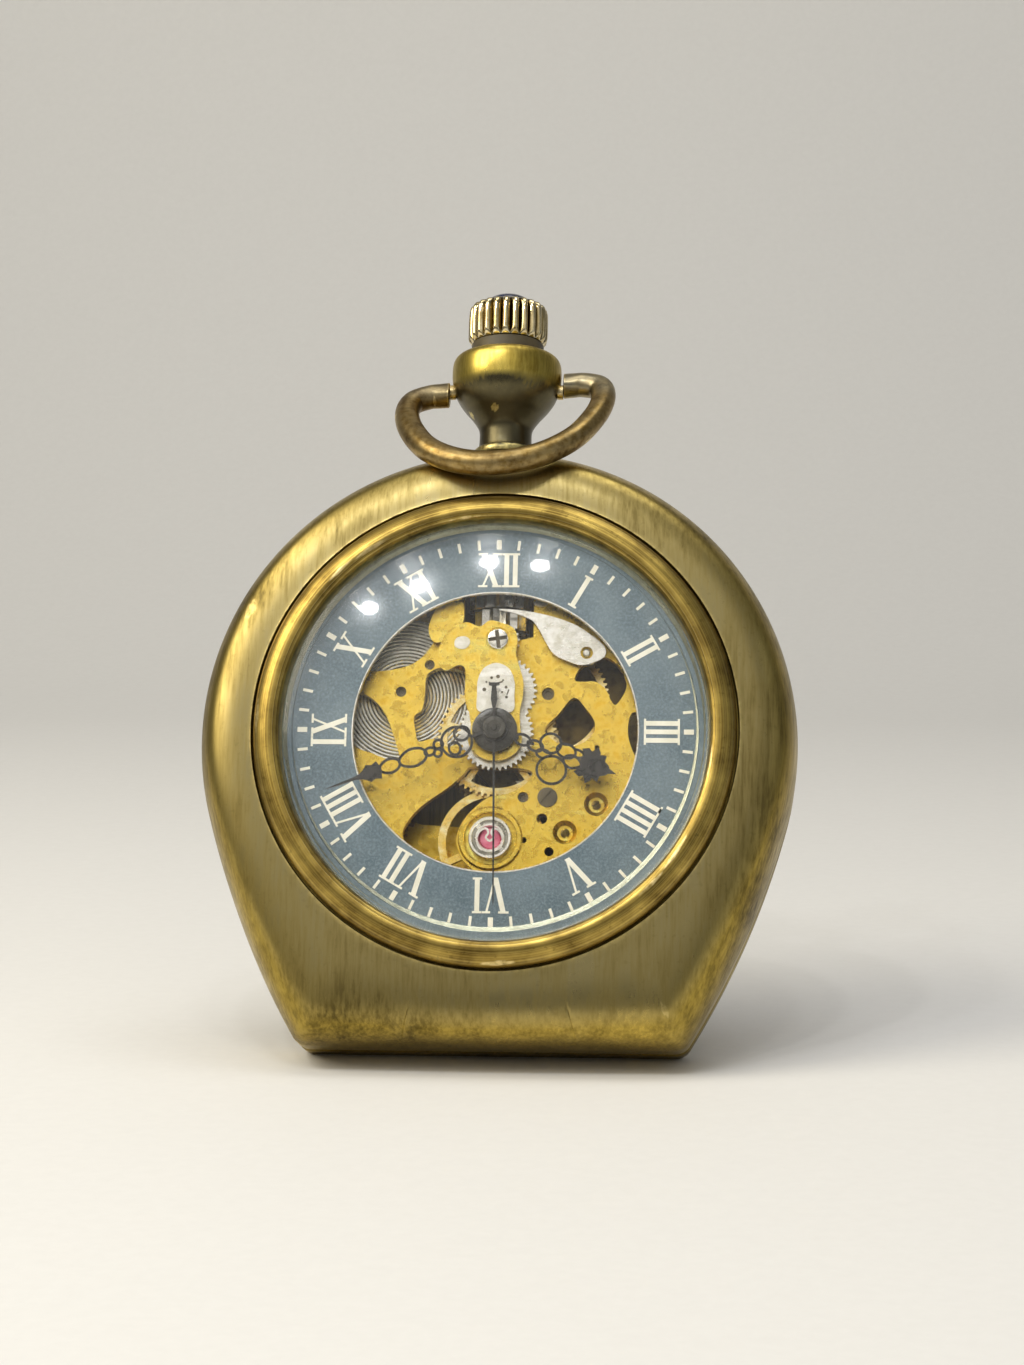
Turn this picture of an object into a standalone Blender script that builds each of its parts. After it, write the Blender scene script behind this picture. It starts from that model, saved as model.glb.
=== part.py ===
"""Open face pocket watch with a skeleton movement in a flat-bottomed brass case.

Sizes are in millimetres and are turned into metres as each mesh is made.
X is to the right seen from the front, Y is to the back and Z is up, towards the crown.
The origin is the middle of the flat base. Shapes are drawn about the dial centre, DIAL_HEIGHT above it.
"""

import math

import bmesh
import bpy
from mathutils import Vector
from mathutils.geometry import tessellate_polygon

MM = 0.001
DIAL_HEIGHT = 24.4

# Case
CASE_RADIUS = 23.7
FLANK_RADIUS = 68.0
FLANK_START = 15.0
FLANK_END = 31.2
BEZEL_SEAT_RADIUS = 19.0
MOVEMENT_BORE = 17.5
FRONT_Y = -5.35
SEAT_Y = -4.5
SEAM_Y = 1.4
BACK_EDGE_Y = 4.2
BACK_Y = 6.8
SHOULDER_DEPTH = 5.6
BASE_SHOULDER_DEPTH = 4.2
# The shoulder's section: (share of the way out, share of the way back)
SHOULDER = ((0.35, 0.03), (0.62, 0.1), (0.77, 0.21), (0.9, 0.44), (0.97, 0.72), (1.0, 1.0))
STEM_BORE = 0.75

# Dial and hands
DIAL_INNER = 11.1
DIAL_OUTER = 17.0
DIAL_FRONT = -4.2
DIAL_BACK = -3.8
HOUR_ANGLE = 110.0
MINUTE_ANGLE = 249.3
SECONDS_ANGLE = 179.0

# Movement: places are (x, z) from the dial centre
PLATE_RADIUS = 15.9
PLATE_FRONT = -2.5
PLATE_BACK = -1.6
BRIDGE_FRONT = 1.75
BRIDGE_BACK = 2.7
CENTRE = (0.0, 0.0)
BARREL = (-7.4, 3.4)
THIRD = (4.0, 3.4)
ESCAPE = (3.3, -4.1)
PALLET = (1.67, -6.0)
BALANCE = (-0.3, -8.2)
CROWN_WHEEL = (0.0, 7.7)
MINUTE_WHEEL = (0.35, 3.6)
SETTING_WHEEL = (0.35, 7.594)
BARREL_TEETH = 66
CENTRE_PINION = 11
CENTRE_TEETH = 60
THIRD_PINION = 8
THIRD_TEETH = 64
FOURTH_PINION = 8
FOURTH_TEETH = 60
ESCAPE_PINION = 6
ESCAPE_TEETH = 15
RATCHET_TEETH = 34
CROWN_WHEEL_TEETH = 25
CANNON_TEETH = 12
MINUTE_TEETH = 36
MINUTE_PINION = 10
HOUR_TEETH = 40
SETTING_TEETH = 17

# Pendant, crown and bow: heights are from the dial centre
PENDANT_FOOT = 23.75
PENDANT_TOP = 33.0
CROWN_FOOT = 33.4
CROWN_TOP = 36.9
CROWN_RADIUS = 3.25
CROWN_FLUTES = 24
BOW_PIVOT_HEIGHT = 29.4
BOW_WIRE = 1.0
BOW_HANG = 39.0


def clear_scene():
    for item in list(bpy.data.objects):
        bpy.data.objects.remove(item, do_unlink=True)


def finish(name, colour, roughness, metallic):
    """A plain Principled material with a linear base colour."""
    made = bpy.data.materials.new(name)
    made.use_nodes = True
    surface = made.node_tree.nodes["Principled BSDF"]
    surface.inputs["Base Color"].default_value = (*colour, 1.0)
    surface.inputs["Roughness"].default_value = roughness
    surface.inputs["Metallic"].default_value = metallic
    return made


def polar(radius, degrees, centre=(0.0, 0.0)):
    """A point at an angle, anticlockwise from +X seen from the front."""
    turn = math.radians(degrees)
    return (centre[0] + radius * math.cos(turn), centre[1] + radius * math.sin(turn))


def circle(radius, count, centre=(0.0, 0.0)):
    return [polar(radius, 360.0 * k / count, centre) for k in range(count)]


def bearing(start, end):
    return math.degrees(math.atan2(end[1] - start[1], end[0] - start[0]))


def distance(start, end):
    return math.hypot(end[0] - start[0], end[1] - start[1])


def smooth_loop(points, steps):
    """A closed curve through the points."""
    count = len(points)
    made = []
    for k in range(count):
        a, b, c, d = (points[(k + shift) % count] for shift in (-1, 0, 1, 2))
        for step in range(steps):
            made.append(spline_point(a, b, c, d, step / steps))
    return made


def smooth_path(points, steps):
    """An open curve through the points, both ends included."""
    ends = [points[0], *points, points[-1]]
    made = []
    for k in range(len(points) - 1):
        for step in range(steps):
            made.append(spline_point(*ends[k:k + 4], step / steps))
    return [*made, tuple(points[-1])]


def spline_point(a, b, c, d, t):
    return tuple(
        0.5 * (2 * q + (r - p) * t + (2 * p - 5 * q + 4 * r - s) * t * t + (3 * q - p - 3 * r + s) * t ** 3)
        for p, q, r, s in zip(a, b, c, d)
    )


def moved(outline, shift):
    return [(x + shift[0], z + shift[1]) for x, z in outline]


def turned_outline(outline, degrees, centre=(0.0, 0.0)):
    """An outline turned anticlockwise seen from the front."""
    turn = math.radians(degrees)
    cos, sin = math.cos(turn), math.sin(turn)
    return [
        (centre[0] + x * cos - z * sin, centre[1] + x * sin + z * cos)
        for x, z in outline
    ]


def add_solid(name, shape, material, pivot):
    """One closed mesh with its origin at pivot. Shape holds points and faces about the dial centre."""
    points, faces = shape
    origin = Vector(pivot)
    mesh = bpy.data.meshes.new(name)
    mesh.from_pydata([(Vector(p) - origin) * MM for p in points], [], faces)
    work = bmesh.new()
    work.from_mesh(mesh)
    bmesh.ops.recalc_face_normals(work, faces=work.faces)
    work.to_mesh(mesh)
    work.free()
    mesh.materials.append(material)
    made = bpy.data.objects.new(name, mesh)
    made.location = (origin + Vector((0.0, 0.0, DIAL_HEIGHT))) * MM
    bpy.context.scene.collection.objects.link(made)
    return made


def combine(base, shape, pivot, operation):
    """Joins a shape to a solid, or cuts it away, and keeps only the result."""
    tool = add_solid("tool", shape, base.data.materials[0], pivot)
    tool.hide_render = True
    tool.display_type = "WIRE"
    step = base.modifiers.new(operation, "BOOLEAN")
    step.operation = operation
    step.solver = "EXACT"
    step.object = tool
    bpy.context.view_layer.update()
    graph = bpy.context.evaluated_depsgraph_get()
    result = bpy.data.meshes.new_from_object(base.evaluated_get(graph))
    base.modifiers.clear()
    base.data = result
    bpy.data.objects.remove(tool, do_unlink=True)


def built(name, material, pivot, joined, removed=()):
    """A solid made of shapes that overlap a little, less the removed ones."""
    made = add_solid(name, joined[0], material, pivot)
    for shape in joined[1:]:
        combine(made, shape, pivot, "UNION")
    for shape in removed:
        combine(made, shape, pivot, "DIFFERENCE")
    made.data.set_sharp_from_angle(angle=math.radians(35.0))
    return made


def prism(outline, front, back, holes=()):
    """A flat plate between two depths, with its holes."""
    loops = [outline, *holes]
    flat = [point for loop in loops for point in loop]
    count = len(flat)
    points = [(x, front, z) for x, z in flat] + [(x, back, z) for x, z in flat]
    caps = tessellate_polygon([[Vector((x, z, 0.0)) for x, z in loop] for loop in loops])
    faces = [tuple(cap) for cap in caps]
    faces += [tuple(count + index for index in reversed(cap)) for cap in caps]
    first = 0
    for loop in loops:
        size = len(loop)
        for k in range(size):
            here, there = first + k, first + (k + 1) % size
            faces.append((here, there, count + there, count + here))
        first += size
    return points, faces


def turned(profile, count, centre=(0.0, 0.0, 0.0), along="Y"):
    """A closed profile of (radius, distance along) turned about an axis."""
    points = []
    rings = []
    for radius, reach in profile:
        if radius < 1e-6:
            rings.append([len(points)] * count)
            points.append(placed(0.0, 0.0, reach, centre, along))
            continue
        rings.append(list(range(len(points), len(points) + count)))
        for k in range(count):
            turn = math.tau * k / count
            across, up = radius * math.cos(turn), radius * math.sin(turn)
            points.append(placed(across, up, reach, centre, along))
    faces = []
    for k, ring in enumerate(rings):
        after = rings[(k + 1) % len(rings)]
        for j in range(count):
            corners = (ring[j], ring[(j + 1) % count], after[(j + 1) % count], after[j])
            face = tuple(dict.fromkeys(corners))
            if len(face) > 2:
                faces.append(face)
    return points, faces


def placed(across, up, reach, centre, along):
    """A point of a turned shape, for an axis along X, Y or Z."""
    offset = {
        "X": (reach, across, up),
        "Y": (across, reach, up),
        "Z": (across, up, reach),
    }[along]
    return tuple(c + o for c, o in zip(centre, offset))


def disc(radius, front, back, centre=(0.0, 0.0), count=16):
    """A plain round bar from front to back."""
    return turned([(0.0, front), (radius, front), (radius, back), (0.0, back)], count,
                  (centre[0], 0.0, centre[1]))


def sleeve(inner, outer, front, back, centre=(0.0, 0.0), count=24):
    profile = [(inner, front), (outer, front), (outer, back), (inner, back)]
    return turned(profile, count, (centre[0], 0.0, centre[1]))


def loft(loops):
    """A closed skin over loops of 3-D points, open in the middle: its last loop joins its first."""
    count = len(loops[0])
    points = [point for loop in loops for point in loop]
    faces = []
    for k in range(len(loops)):
        start, after = k * count, ((k + 1) % len(loops)) * count
        for j in range(count):
            here = (j + 1) % count
            faces.append((start + j, start + here, after + here, after + j))
    return points, faces


def capped(loops):
    """A closed skin over loops of 3-D points, with a flat face at each end."""
    points, faces = loft(loops)
    count = len(loops[0])
    faces = faces[:-count]
    faces.append(tuple(range(count)))
    faces.append(tuple(reversed(range(len(points) - count, len(points)))))
    return points, faces


def toothed(count, radius, module, phase, centre, lean=0.0):
    """A wheel's outline. A tooth points at the phase angle, and lean tips the teeth over."""
    pitch = 360.0 / count
    made = []
    for k in range(count):
        middle = phase + k * pitch
        made.append(polar(radius - 1.15 * module, middle - 0.5 * pitch, centre))
        made.append(polar(radius + 0.75 * module, middle + lean * pitch, centre))
    return made


def leaved(count, radius, module, phase, centre):
    """A pinion's outline. A leaf points at the phase angle."""
    pitch = 360.0 / count
    made = []
    for k in range(count):
        middle = phase + k * pitch
        made.append(polar(radius - 1.0 * module, middle - 0.24 * pitch, centre))
        made.append(polar(radius + 0.7 * module, middle - 0.09 * pitch, centre))
        made.append(polar(radius + 0.7 * module, middle + 0.09 * pitch, centre))
        made.append(polar(radius - 1.0 * module, middle + 0.24 * pitch, centre))
    return made


def crossings(count, inner, outer, spoke, centre, phase=0.0):
    """The openings between a wheel's spokes."""
    holes = []
    for k in range(count):
        start = phase + 360.0 * k / count
        end = start + 360.0 / count
        near = math.degrees(0.5 * spoke / inner)
        far = math.degrees(0.5 * spoke / outer)
        rim = [polar(outer, start + far + (end - start - 2 * far) * j / 5, centre) for j in range(6)]
        hub = [polar(inner, end - near - (end - start - 2 * near) * j / 2, centre) for j in range(3)]
        holes.append(rim + hub)
    return holes


def pair_module(start, end, first_teeth, second_teeth):
    return 2.0 * distance(start, end) / (first_teeth + second_teeth)


def case_outline():
    """The front outline as (x, z): a round top, long curved flanks and a flat base."""
    arc = [polar(CASE_RADIUS, 90.0 - (90.0 + FLANK_START) * k / 14) for k in range(15)]
    flank_centre = polar(FLANK_RADIUS, 180.0 - FLANK_START, arc[-1])
    spread = FLANK_END - FLANK_START
    flank = [polar(FLANK_RADIUS, -FLANK_START - spread * k / 5, flank_centre) for k in range(1, 6)]
    drop = DIAL_HEIGHT + flank[-1][1]
    corner_radius = drop / (1.0 - math.sin(math.radians(FLANK_END)))
    corner_centre = polar(corner_radius, 180.0 - FLANK_END, flank[-1])
    corner = [
        polar(corner_radius, -FLANK_END - (90.0 - FLANK_END) * k / 3, corner_centre)
        for k in range(1, 4)
    ]
    base = [(corner[-1][0] * share, -DIAL_HEIGHT) for share in (0.66, 0.33)]
    right = arc + flank + corner + base
    left = [(-x, z) for x, z in reversed(right[1:])]
    return right + [(0.0, -DIAL_HEIGHT)] + left


def case_loop(outline, share, depth_of):
    """A loop part of the way from the bezel seat's circle to the full outline."""
    loop = []
    for x, z in outline:
        reach = math.hypot(x, z)
        radius = BEZEL_SEAT_RADIUS + (reach - BEZEL_SEAT_RADIUS) * share
        loop.append((x / reach * radius, depth_of(z), z / reach * radius))
    return loop


def round_loop(outline, radius, depth):
    return [(x / math.hypot(x, z) * radius, depth, z / math.hypot(x, z) * radius) for x, z in outline]


def shoulder_depth(z, usual, at_base):
    """The shoulder is shallower at the flat base than round the sides."""
    share = min(max((-12.0 - z) / 11.0, 0.0), 1.0)
    share = share * share * (3.0 - 2.0 * share)
    return usual + (at_base - usual) * share


def make_case_front(brass):
    outline = case_outline()
    loops = [
        round_loop(outline, MOVEMENT_BORE, SEAM_Y),
        round_loop(outline, MOVEMENT_BORE, -3.78),
        round_loop(outline, 17.08, -3.78),
        round_loop(outline, 17.08, SEAT_Y),
        round_loop(outline, BEZEL_SEAT_RADIUS, SEAT_Y),
        round_loop(outline, BEZEL_SEAT_RADIUS, FRONT_Y),
    ]
    for share, sink in SHOULDER:
        loops.append(case_loop(
            outline, share,
            lambda z, sink=sink: FRONT_Y + sink * shoulder_depth(z, SHOULDER_DEPTH, BASE_SHOULDER_DEPTH),
        ))
    loops.append(case_loop(outline, 1.0, lambda z: SEAM_Y))
    bore = turned([(0.0, 15.0), (STEM_BORE, 15.0), (STEM_BORE, 26.0), (0.0, 26.0)], 12, along="Z")
    return built("case_front", brass, (0.0, 0.0, 0.0), [loft(loops)], [bore])


def make_case_back(brass):
    outline = case_outline()
    rim_y = SEAM_Y + 0.04
    loops = [
        round_loop(outline, MOVEMENT_BORE, 3.9),
        round_loop(outline, MOVEMENT_BORE, rim_y),
        case_loop(outline, 1.0, lambda z: rim_y),
    ]
    for turn in (0.0, 22.0, 45.0, 68.0, 90.0):
        share = math.cos(math.radians(turn))
        rise = math.sin(math.radians(turn))
        depth = BACK_EDGE_Y + rise * (BACK_Y - BACK_EDGE_Y)
        loops.append(case_loop(outline, share, lambda z, depth=depth: depth))
    loops.append(round_loop(outline, 10.0, BACK_Y + 0.25))
    return built("case_back", brass, (0.0, 0.0, 0.0), [capped(loops)])


def make_bezel(brass):
    profile = [
        (16.72, -4.56), (18.8, -4.56), (18.85, -5.35), (18.6, -5.95), (18.05, -6.33),
        (17.5, -6.42), (17.05, -6.25), (16.8, -5.85),
    ]
    return built("bezel", brass, (0.0, 0.0, 0.0), [turned(profile, 56)])


def make_crystal(clear):
    outer = [(16.55, -5.6)]
    outer += [(16.2 * share, -5.85 - 2.05 * (1.0 - share ** 2)) for share in (1.0, 0.7, 0.35, 0.0)]
    inner = [(15.7 * share, -5.45 - 1.65 * (1.0 - share ** 2)) for share in (0.0, 0.4, 0.75, 1.0)]
    profile = [(16.65, -4.58), *outer, *inner, (15.9, -4.58)]
    return built("crystal", clear, (0.0, 0.0, 0.0), [turned(profile, 40)])


def make_pendant(brass):
    profile = [
        (0.95, PENDANT_FOOT), (2.5, PENDANT_FOOT), (2.75, 24.1), (2.65, 24.6), (2.4, 24.9), (2.45, 25.5),
        (2.85, 26.4), (3.55, 27.5), (4.2, 28.6), (4.5, 29.7), (4.5, 31.0), (4.4, 32.2), (4.25, 32.8),
        (4.0, PENDANT_TOP), (2.6, PENDANT_TOP), (2.4, 32.2), (0.95, 32.0),
    ]
    return built("pendant", brass, (0.0, 0.0, 0.0), [turned(profile, 24, along="Z")])


def make_crown(gold, stone):
    loops = []
    for radius, height, groove in (
        (2.35, CROWN_FOOT, 0.0), (2.95, CROWN_FOOT + 0.15, 0.1), (CROWN_RADIUS, CROWN_FOOT + 0.6, 0.28),
        (CROWN_RADIUS + 0.02, 35.2, 0.3), (CROWN_RADIUS - 0.1, 36.2, 0.26), (2.75, 36.75, 0.12),
        (2.1, CROWN_TOP, 0.0),
    ):
        loop = []
        for k in range(2 * CROWN_FLUTES):
            turn = math.pi * k / CROWN_FLUTES
            reach = radius - (groove if k % 2 else 0.0)
            loop.append((reach * math.cos(turn), reach * math.sin(turn), height))
        loops.append(loop)
    built("crown", gold, (0.0, 0.0, CROWN_FOOT), [capped(loops)])
    dome = [(1.85 * math.cos(math.radians(t)),
             CROWN_TOP + 0.03 + 0.87 * math.sin(math.radians(t))) for t in (0, 25, 50, 72)]
    profile = [(0.0, CROWN_TOP + 0.03), *dome, (0.0, CROWN_TOP + 0.9)]
    built("crown_cabochon", stone, (0.0, 0.0, CROWN_FOOT), [turned(profile, 20, along="Z")])


def tube(path, radius, sides, place):
    """A round bar along a flat path of (x, s), closed at both ends."""
    loops = []
    last = len(path) - 1
    for k, (x, s) in enumerate(path):
        before, after = path[max(k - 1, 0)], path[min(k + 1, last)]
        run = Vector((after[0] - before[0], after[1] - before[1])).normalized()
        side = Vector((run.y, -run.x))
        loop = []
        for j in range(sides):
            turn = math.tau * j / sides
            spread = radius * math.cos(turn)
            loop.append(place(x + side.x * spread, s + side.y * spread, radius * math.sin(turn)))
        loops.append(loop)
    return capped(loops)


def make_bow(brass):
    """The loop hangs forward from its pivot and rests just clear of the case front."""
    lean = math.radians(BOW_HANG)

    def place(x, s, off):
        forward = -s * math.sin(lean) - off * math.cos(lean)
        up = -s * math.cos(lean) + off * math.sin(lean)
        return (x, forward, BOW_PIVOT_HEIGHT + up)

    half = [(5.02, 0.0), (6.4, 0.05), (7.65, 0.8), (7.95, 2.6), (7.3, 5.2), (5.7, 8.1), (3.1, 10.1)]
    whole = half + [(0.0, 10.75)] + [(-x, s) for x, s in reversed(half)]
    path = smooth_path(whole, 3)
    built("bow", brass, (0.0, 0.0, BOW_PIVOT_HEIGHT), [tube(path, BOW_WIRE, 8, place)])
    for side, name in ((-1.0, "bow_pin_left"), (1.0, "bow_pin_right")):
        profile = [(0.0, 4.53 * side), (0.62, 4.53 * side), (0.62, 4.98 * side), (0.0, 4.98 * side)]
        pin = turned(profile, 12, (0.0, 0.0, BOW_PIVOT_HEIGHT), along="X")
        built(name, brass, (0.0, 0.0, BOW_PIVOT_HEIGHT), [pin])


def make_keyless_works(steel):
    """Stem, winding pinion, clutch wheel, setting lever and yoke, on the axis that points to the crown."""
    stem = [(0.0, 8.7), (0.45, 8.7), (0.5, 9.0), (0.5, 33.36), (0.0, 33.36)]
    built("winding_stem", steel, (0.0, 0.0, CROWN_FOOT), [turned(stem, 12, along="Z")])
    built("winding_pinion", steel, (0.0, 0.0, 11.3), [stem_wheel(16, 2.66, 10.55, 12.0)])
    built("clutch_wheel", steel, (0.0, 0.0, 9.7), [stem_wheel(14, 2.25, 8.9, 10.45)])
    lever = smooth_loop([(-4.6, 9.4), (-3.6, 10.4), (-2.9, 10.0), (-3.2, 9.0), (-4.0, 8.6)], 3)
    lever_pivot = (-3.9, -2.75, 9.4)
    built("setting_lever", steel, lever_pivot, [prism(lever, -2.95, -2.55)])
    yoke = smooth_loop([(2.9, 12.6), (3.9, 12.9), (4.3, 11.6), (3.7, 10.5), (2.8, 10.6), (3.2, 11.5)], 3)
    built("yoke", steel, (3.9, -2.75, 12.4), [prism(yoke, -2.95, -2.55)])


def stem_wheel(count, radius, foot, top):
    """A fluted wheel about the stem, with a bore that clears it."""
    outer = []
    for k in range(2 * count):
        outer.append(polar(radius - (0.35 if k % 2 else 0.0), 180.0 * k / count))
    inner = circle(0.62, 2 * count)
    loops = [
        [(x, y, foot) for x, y in outer],
        [(x, y, top) for x, y in outer],
        [(x, y, top) for x, y in inner],
        [(x, y, foot) for x, y in inner],
    ]
    return loft(loops)


def plate_windows():
    """The openings of the skeleton plate, each a smooth loop."""
    corners = (
        ((-11.0, 3.0), (-8.9, 1.9), (-7.9, 0.2), (-7.8, -1.9), (-9.8, -1.6), (-11.4, 0.4)),
        ((-10.6, 4.6), (-8.4, 5.3), (-6.4, 6.9), (-4.9, 8.6), (-4.9, 10.4), (-7.4, 9.0), (-9.9, 6.5)),
        ((-5.5, 4.6), (-4.3, 5.6), (-2.5, 4.9), (-2.3, 2.6), (-2.5, -0.3), (-4.9, -0.6), (-6.3, 0.6),
         (-5.8, 2.6)),
        ((7.2, 6.2), (8.6, 6.4), (9.8, 5.0), (10.2, 3.6), (9.3, 2.6), (8.4, 4.0), (6.9, 4.6)),
        ((6.1, 3.0), (7.4, 1.8), (7.7, 0.3), (6.4, -0.8), (4.9, -0.8), (3.9, 0.4), (4.9, 1.9)),
        ((-7.2, -8.0), (-6.2, -6.2), (-3.6, -4.4), (-1.9, -3.2), (2.5, -3.2), (0.6, -4.6), (-1.9, -6.0),
         (-2.7, -8.0), (-2.1, -10.2), (-4.6, -10.6)),
    )
    return [smooth_loop(loop, 3) for loop in corners]


def make_main_plate(gold):
    """The skeleton plate, with a notch from its edge that the stem and its wheels lie in."""
    notch = 2.75
    start = math.degrees(math.asin(notch / PLATE_RADIUS))
    rim = [polar(PLATE_RADIUS, 90.0 + start + (360.0 - 2.0 * start) * k / 60) for k in range(61)]
    outline = rim + [(notch, 8.0), (1.6, 7.7), (-1.6, 7.7), (-notch, 8.0)]
    holes = plate_windows()
    holes.append(circle(0.62, 16))
    for place, radius in (((2.2, -4.9), 0.42), ((3.7, -6.7), 0.45), ((4.3, -9.4), 0.38)):
        holes.append(circle(radius, 10, place))
    built("main_plate", gold, (0.0, 0.0, 0.0), [prism(outline, PLATE_FRONT, PLATE_BACK, holes)])


def make_dial_side(gold, silver, ruby):
    """The bridge over the motion work, the lever spring, the hub tab and the jewel at six o'clock."""
    head = [
        (-2.5, 8.8), (-3.9, 8.1), (-4.6, 6.6), (-4.3, 5.1), (-3.2, 5.2), (-2.5, 4.6), (-2.3, 2.6),
        (-1.9, 1.0), (-1.4, -0.9), (0.0, -1.5), (1.6, -1.0), (2.2, 0.6), (2.3, 2.6), (2.2, 4.6),
        (1.6, 6.2), (1.5, 7.6), (0.4, 8.6), (-0.7, 9.0), (-1.5, 8.5),
    ]
    outline = smooth_loop(head, 2)
    foot = disc(0.75, -3.7, PLATE_FRONT - 0.02, (-3.55, 6.9), 14)
    second_foot = disc(0.5, -3.7, PLATE_FRONT - 0.02, (-2.2, 8.1), 12)
    cover = prism(outline, -4.0, -3.6, [circle(0.95, 20), circle(0.3, 10, (-2.8, 7.1))])
    built("motion_cover", gold, (0.0, 0.0, 0.0), [cover, foot, second_foot])
    tab = [(-1.3, 1.7), (-1.4, 4.2), (-0.9, 5.2), (0.0, 5.5), (0.9, 5.2), (1.45, 4.2), (1.45, 1.7)]
    built("hub_tab", silver, (0.0, 0.0, 0.0), [prism(tab, -4.2, -4.03)])
    spring = [
        (2.9, 9.2), (4.4, 9.3), (6.2, 8.6), (7.6, 7.7), (8.2, 6.9), (7.2, 6.0), (5.9, 6.1),
        (4.4, 6.9), (3.3, 7.9),
    ]
    built("lever_spring", silver, (0.0, 0.0, 0.0),
          [prism(smooth_loop(spring, 2), -3.1, -2.52, [circle(0.35, 10, (6.4, 7.1))])])
    setting = [(0.0, -2.9), (0.5, -2.95), (0.62, -2.8), (0.95, -2.8), (1.0, -3.0), (1.25, -3.0),
               (1.3, -2.52), (0.0, -2.52)]
    built("jewel_setting", ruby, centre3(BALANCE), [turned(setting, 24, centre3(BALANCE))])


def centre3(place, depth=0.0):
    return (place[0], depth, place[1])


def make_screws(steel):
    """Flat screw heads that rest on the plates and bridges."""
    for name, place, radius, face, thick in (
        ("cover_screw", (0.05, 7.45), 0.62, -4.02, -0.28),
        ("plate_screw_upper", (4.1, -4.9), 0.5, PLATE_FRONT - 0.02, -0.22),
        ("plate_screw_side", (7.9, -5.4), 0.6, PLATE_FRONT - 0.02, -0.25),
        ("plate_screw_lower", (5.5, -7.7), 0.6, PLATE_FRONT - 0.02, -0.25),
        ("barrel_bridge_screw", (-12.6, -3.6), 0.8, BRIDGE_BACK + 0.02, 0.4),
        ("train_bridge_screw", (10.6, -2.0), 0.8, BRIDGE_BACK + 0.02, 0.4),
        ("balance_cock_screw", (-9.8, -8.9), 0.9, BRIDGE_BACK + 0.02, 0.4),
    ):
        head = [(0.0, face), (radius, face), (radius, face + 0.7 * thick), (0.8 * radius, face + thick),
                (0.0, face + thick)]
        built(name, steel, centre3(place), [turned(head, 14, centre3(place))])


def sector(inner, outer, start, end, steps):
    rim = [polar(outer, start + (end - start) * k / steps) for k in range(steps + 1)]
    hub = [polar(inner, end - (end - start) * k / steps) for k in range(steps + 1)]
    return rim + hub


def make_bridges(gold):
    """The three bridges at the back, each on a foot that stands on the main plate."""
    foot_front = PLATE_BACK + 0.02
    barrel = sector(2.4, 15.4, 68.0, 195.0, 10)
    holes = [circle(0.85, 14, BARREL), stem_slot()]
    feet = [prism(sector(14.75, 15.38, 100.0, 130.0, 4), foot_front, BRIDGE_FRONT + 0.1),
            prism(sector(14.75, 15.38, 183.0, 194.0, 3), foot_front, BRIDGE_FRONT + 0.1)]
    built("barrel_bridge", gold, (0.0, 0.0, 0.0), [prism(barrel, BRIDGE_FRONT, BRIDGE_BACK, holes),
                                                   *feet])
    train = [polar(15.4, -42.0 + 10.2 * k) for k in range(11)]
    train += [(1.3, 1.9), (-0.9, 1.6), (-1.6, 0.2), (-1.9, -1.9), (1.6, -5.6), (4.4, -6.4)]
    foot = prism(sector(12.4, 15.38, -20.0, 8.0, 4), foot_front, BRIDGE_FRONT + 0.1)
    train_holes = [circle(0.2, 8, THIRD), circle(0.2, 8, ESCAPE), circle(0.22, 8)]
    built("train_bridge", gold, (0.0, 0.0, 0.0), [prism(train, BRIDGE_FRONT, BRIDGE_BACK, train_holes),
                                                  foot])
    cock = [(-14.2, -5.2), (-10.2, -5.0), (-6.0, -6.3), (-0.6, -6.6), (1.2, -7.5), (1.2, -9.3),
            (-0.4, -10.1),
            (-5.5, -10.6), (-7.4, -13.3), (-9.6, -12.0), (-12.0, -9.6), (-13.6, -7.0)]
    cock_foot = prism([(-13.4, -6.4), (-10.2, -6.2), (-8.0, -8.6), (-8.2, -12.0), (-10.8, -10.6)],
                      foot_front, BRIDGE_FRONT + 0.1)
    cock_plate = prism(cock, BRIDGE_FRONT, BRIDGE_BACK, [circle(0.2, 8, BALANCE)])
    built("balance_cock", gold, (0.0, 0.0, 0.0), [cock_plate, cock_foot])
    pallet = prism([(0.9, -6.3), (2.6, -6.6), (5.4, -9.2), (8.6, -9.6), (9.8, -8.2), (5.6, -7.2),
                    (3.0, -5.2), (1.4, -5.0)],
                   0.95, 1.4)
    pallet_foot = prism([(7.0, -9.3), (8.6, -9.4), (9.4, -8.3), (7.2, -7.8)], foot_front, 1.0)
    built("pallet_bridge", gold, (0.0, 0.0, 0.0), [pallet, pallet_foot])


def stem_slot():
    return [(-2.2, 8.0), (2.2, 8.0), (2.2, 12.4), (-2.2, 12.4)]


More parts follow.
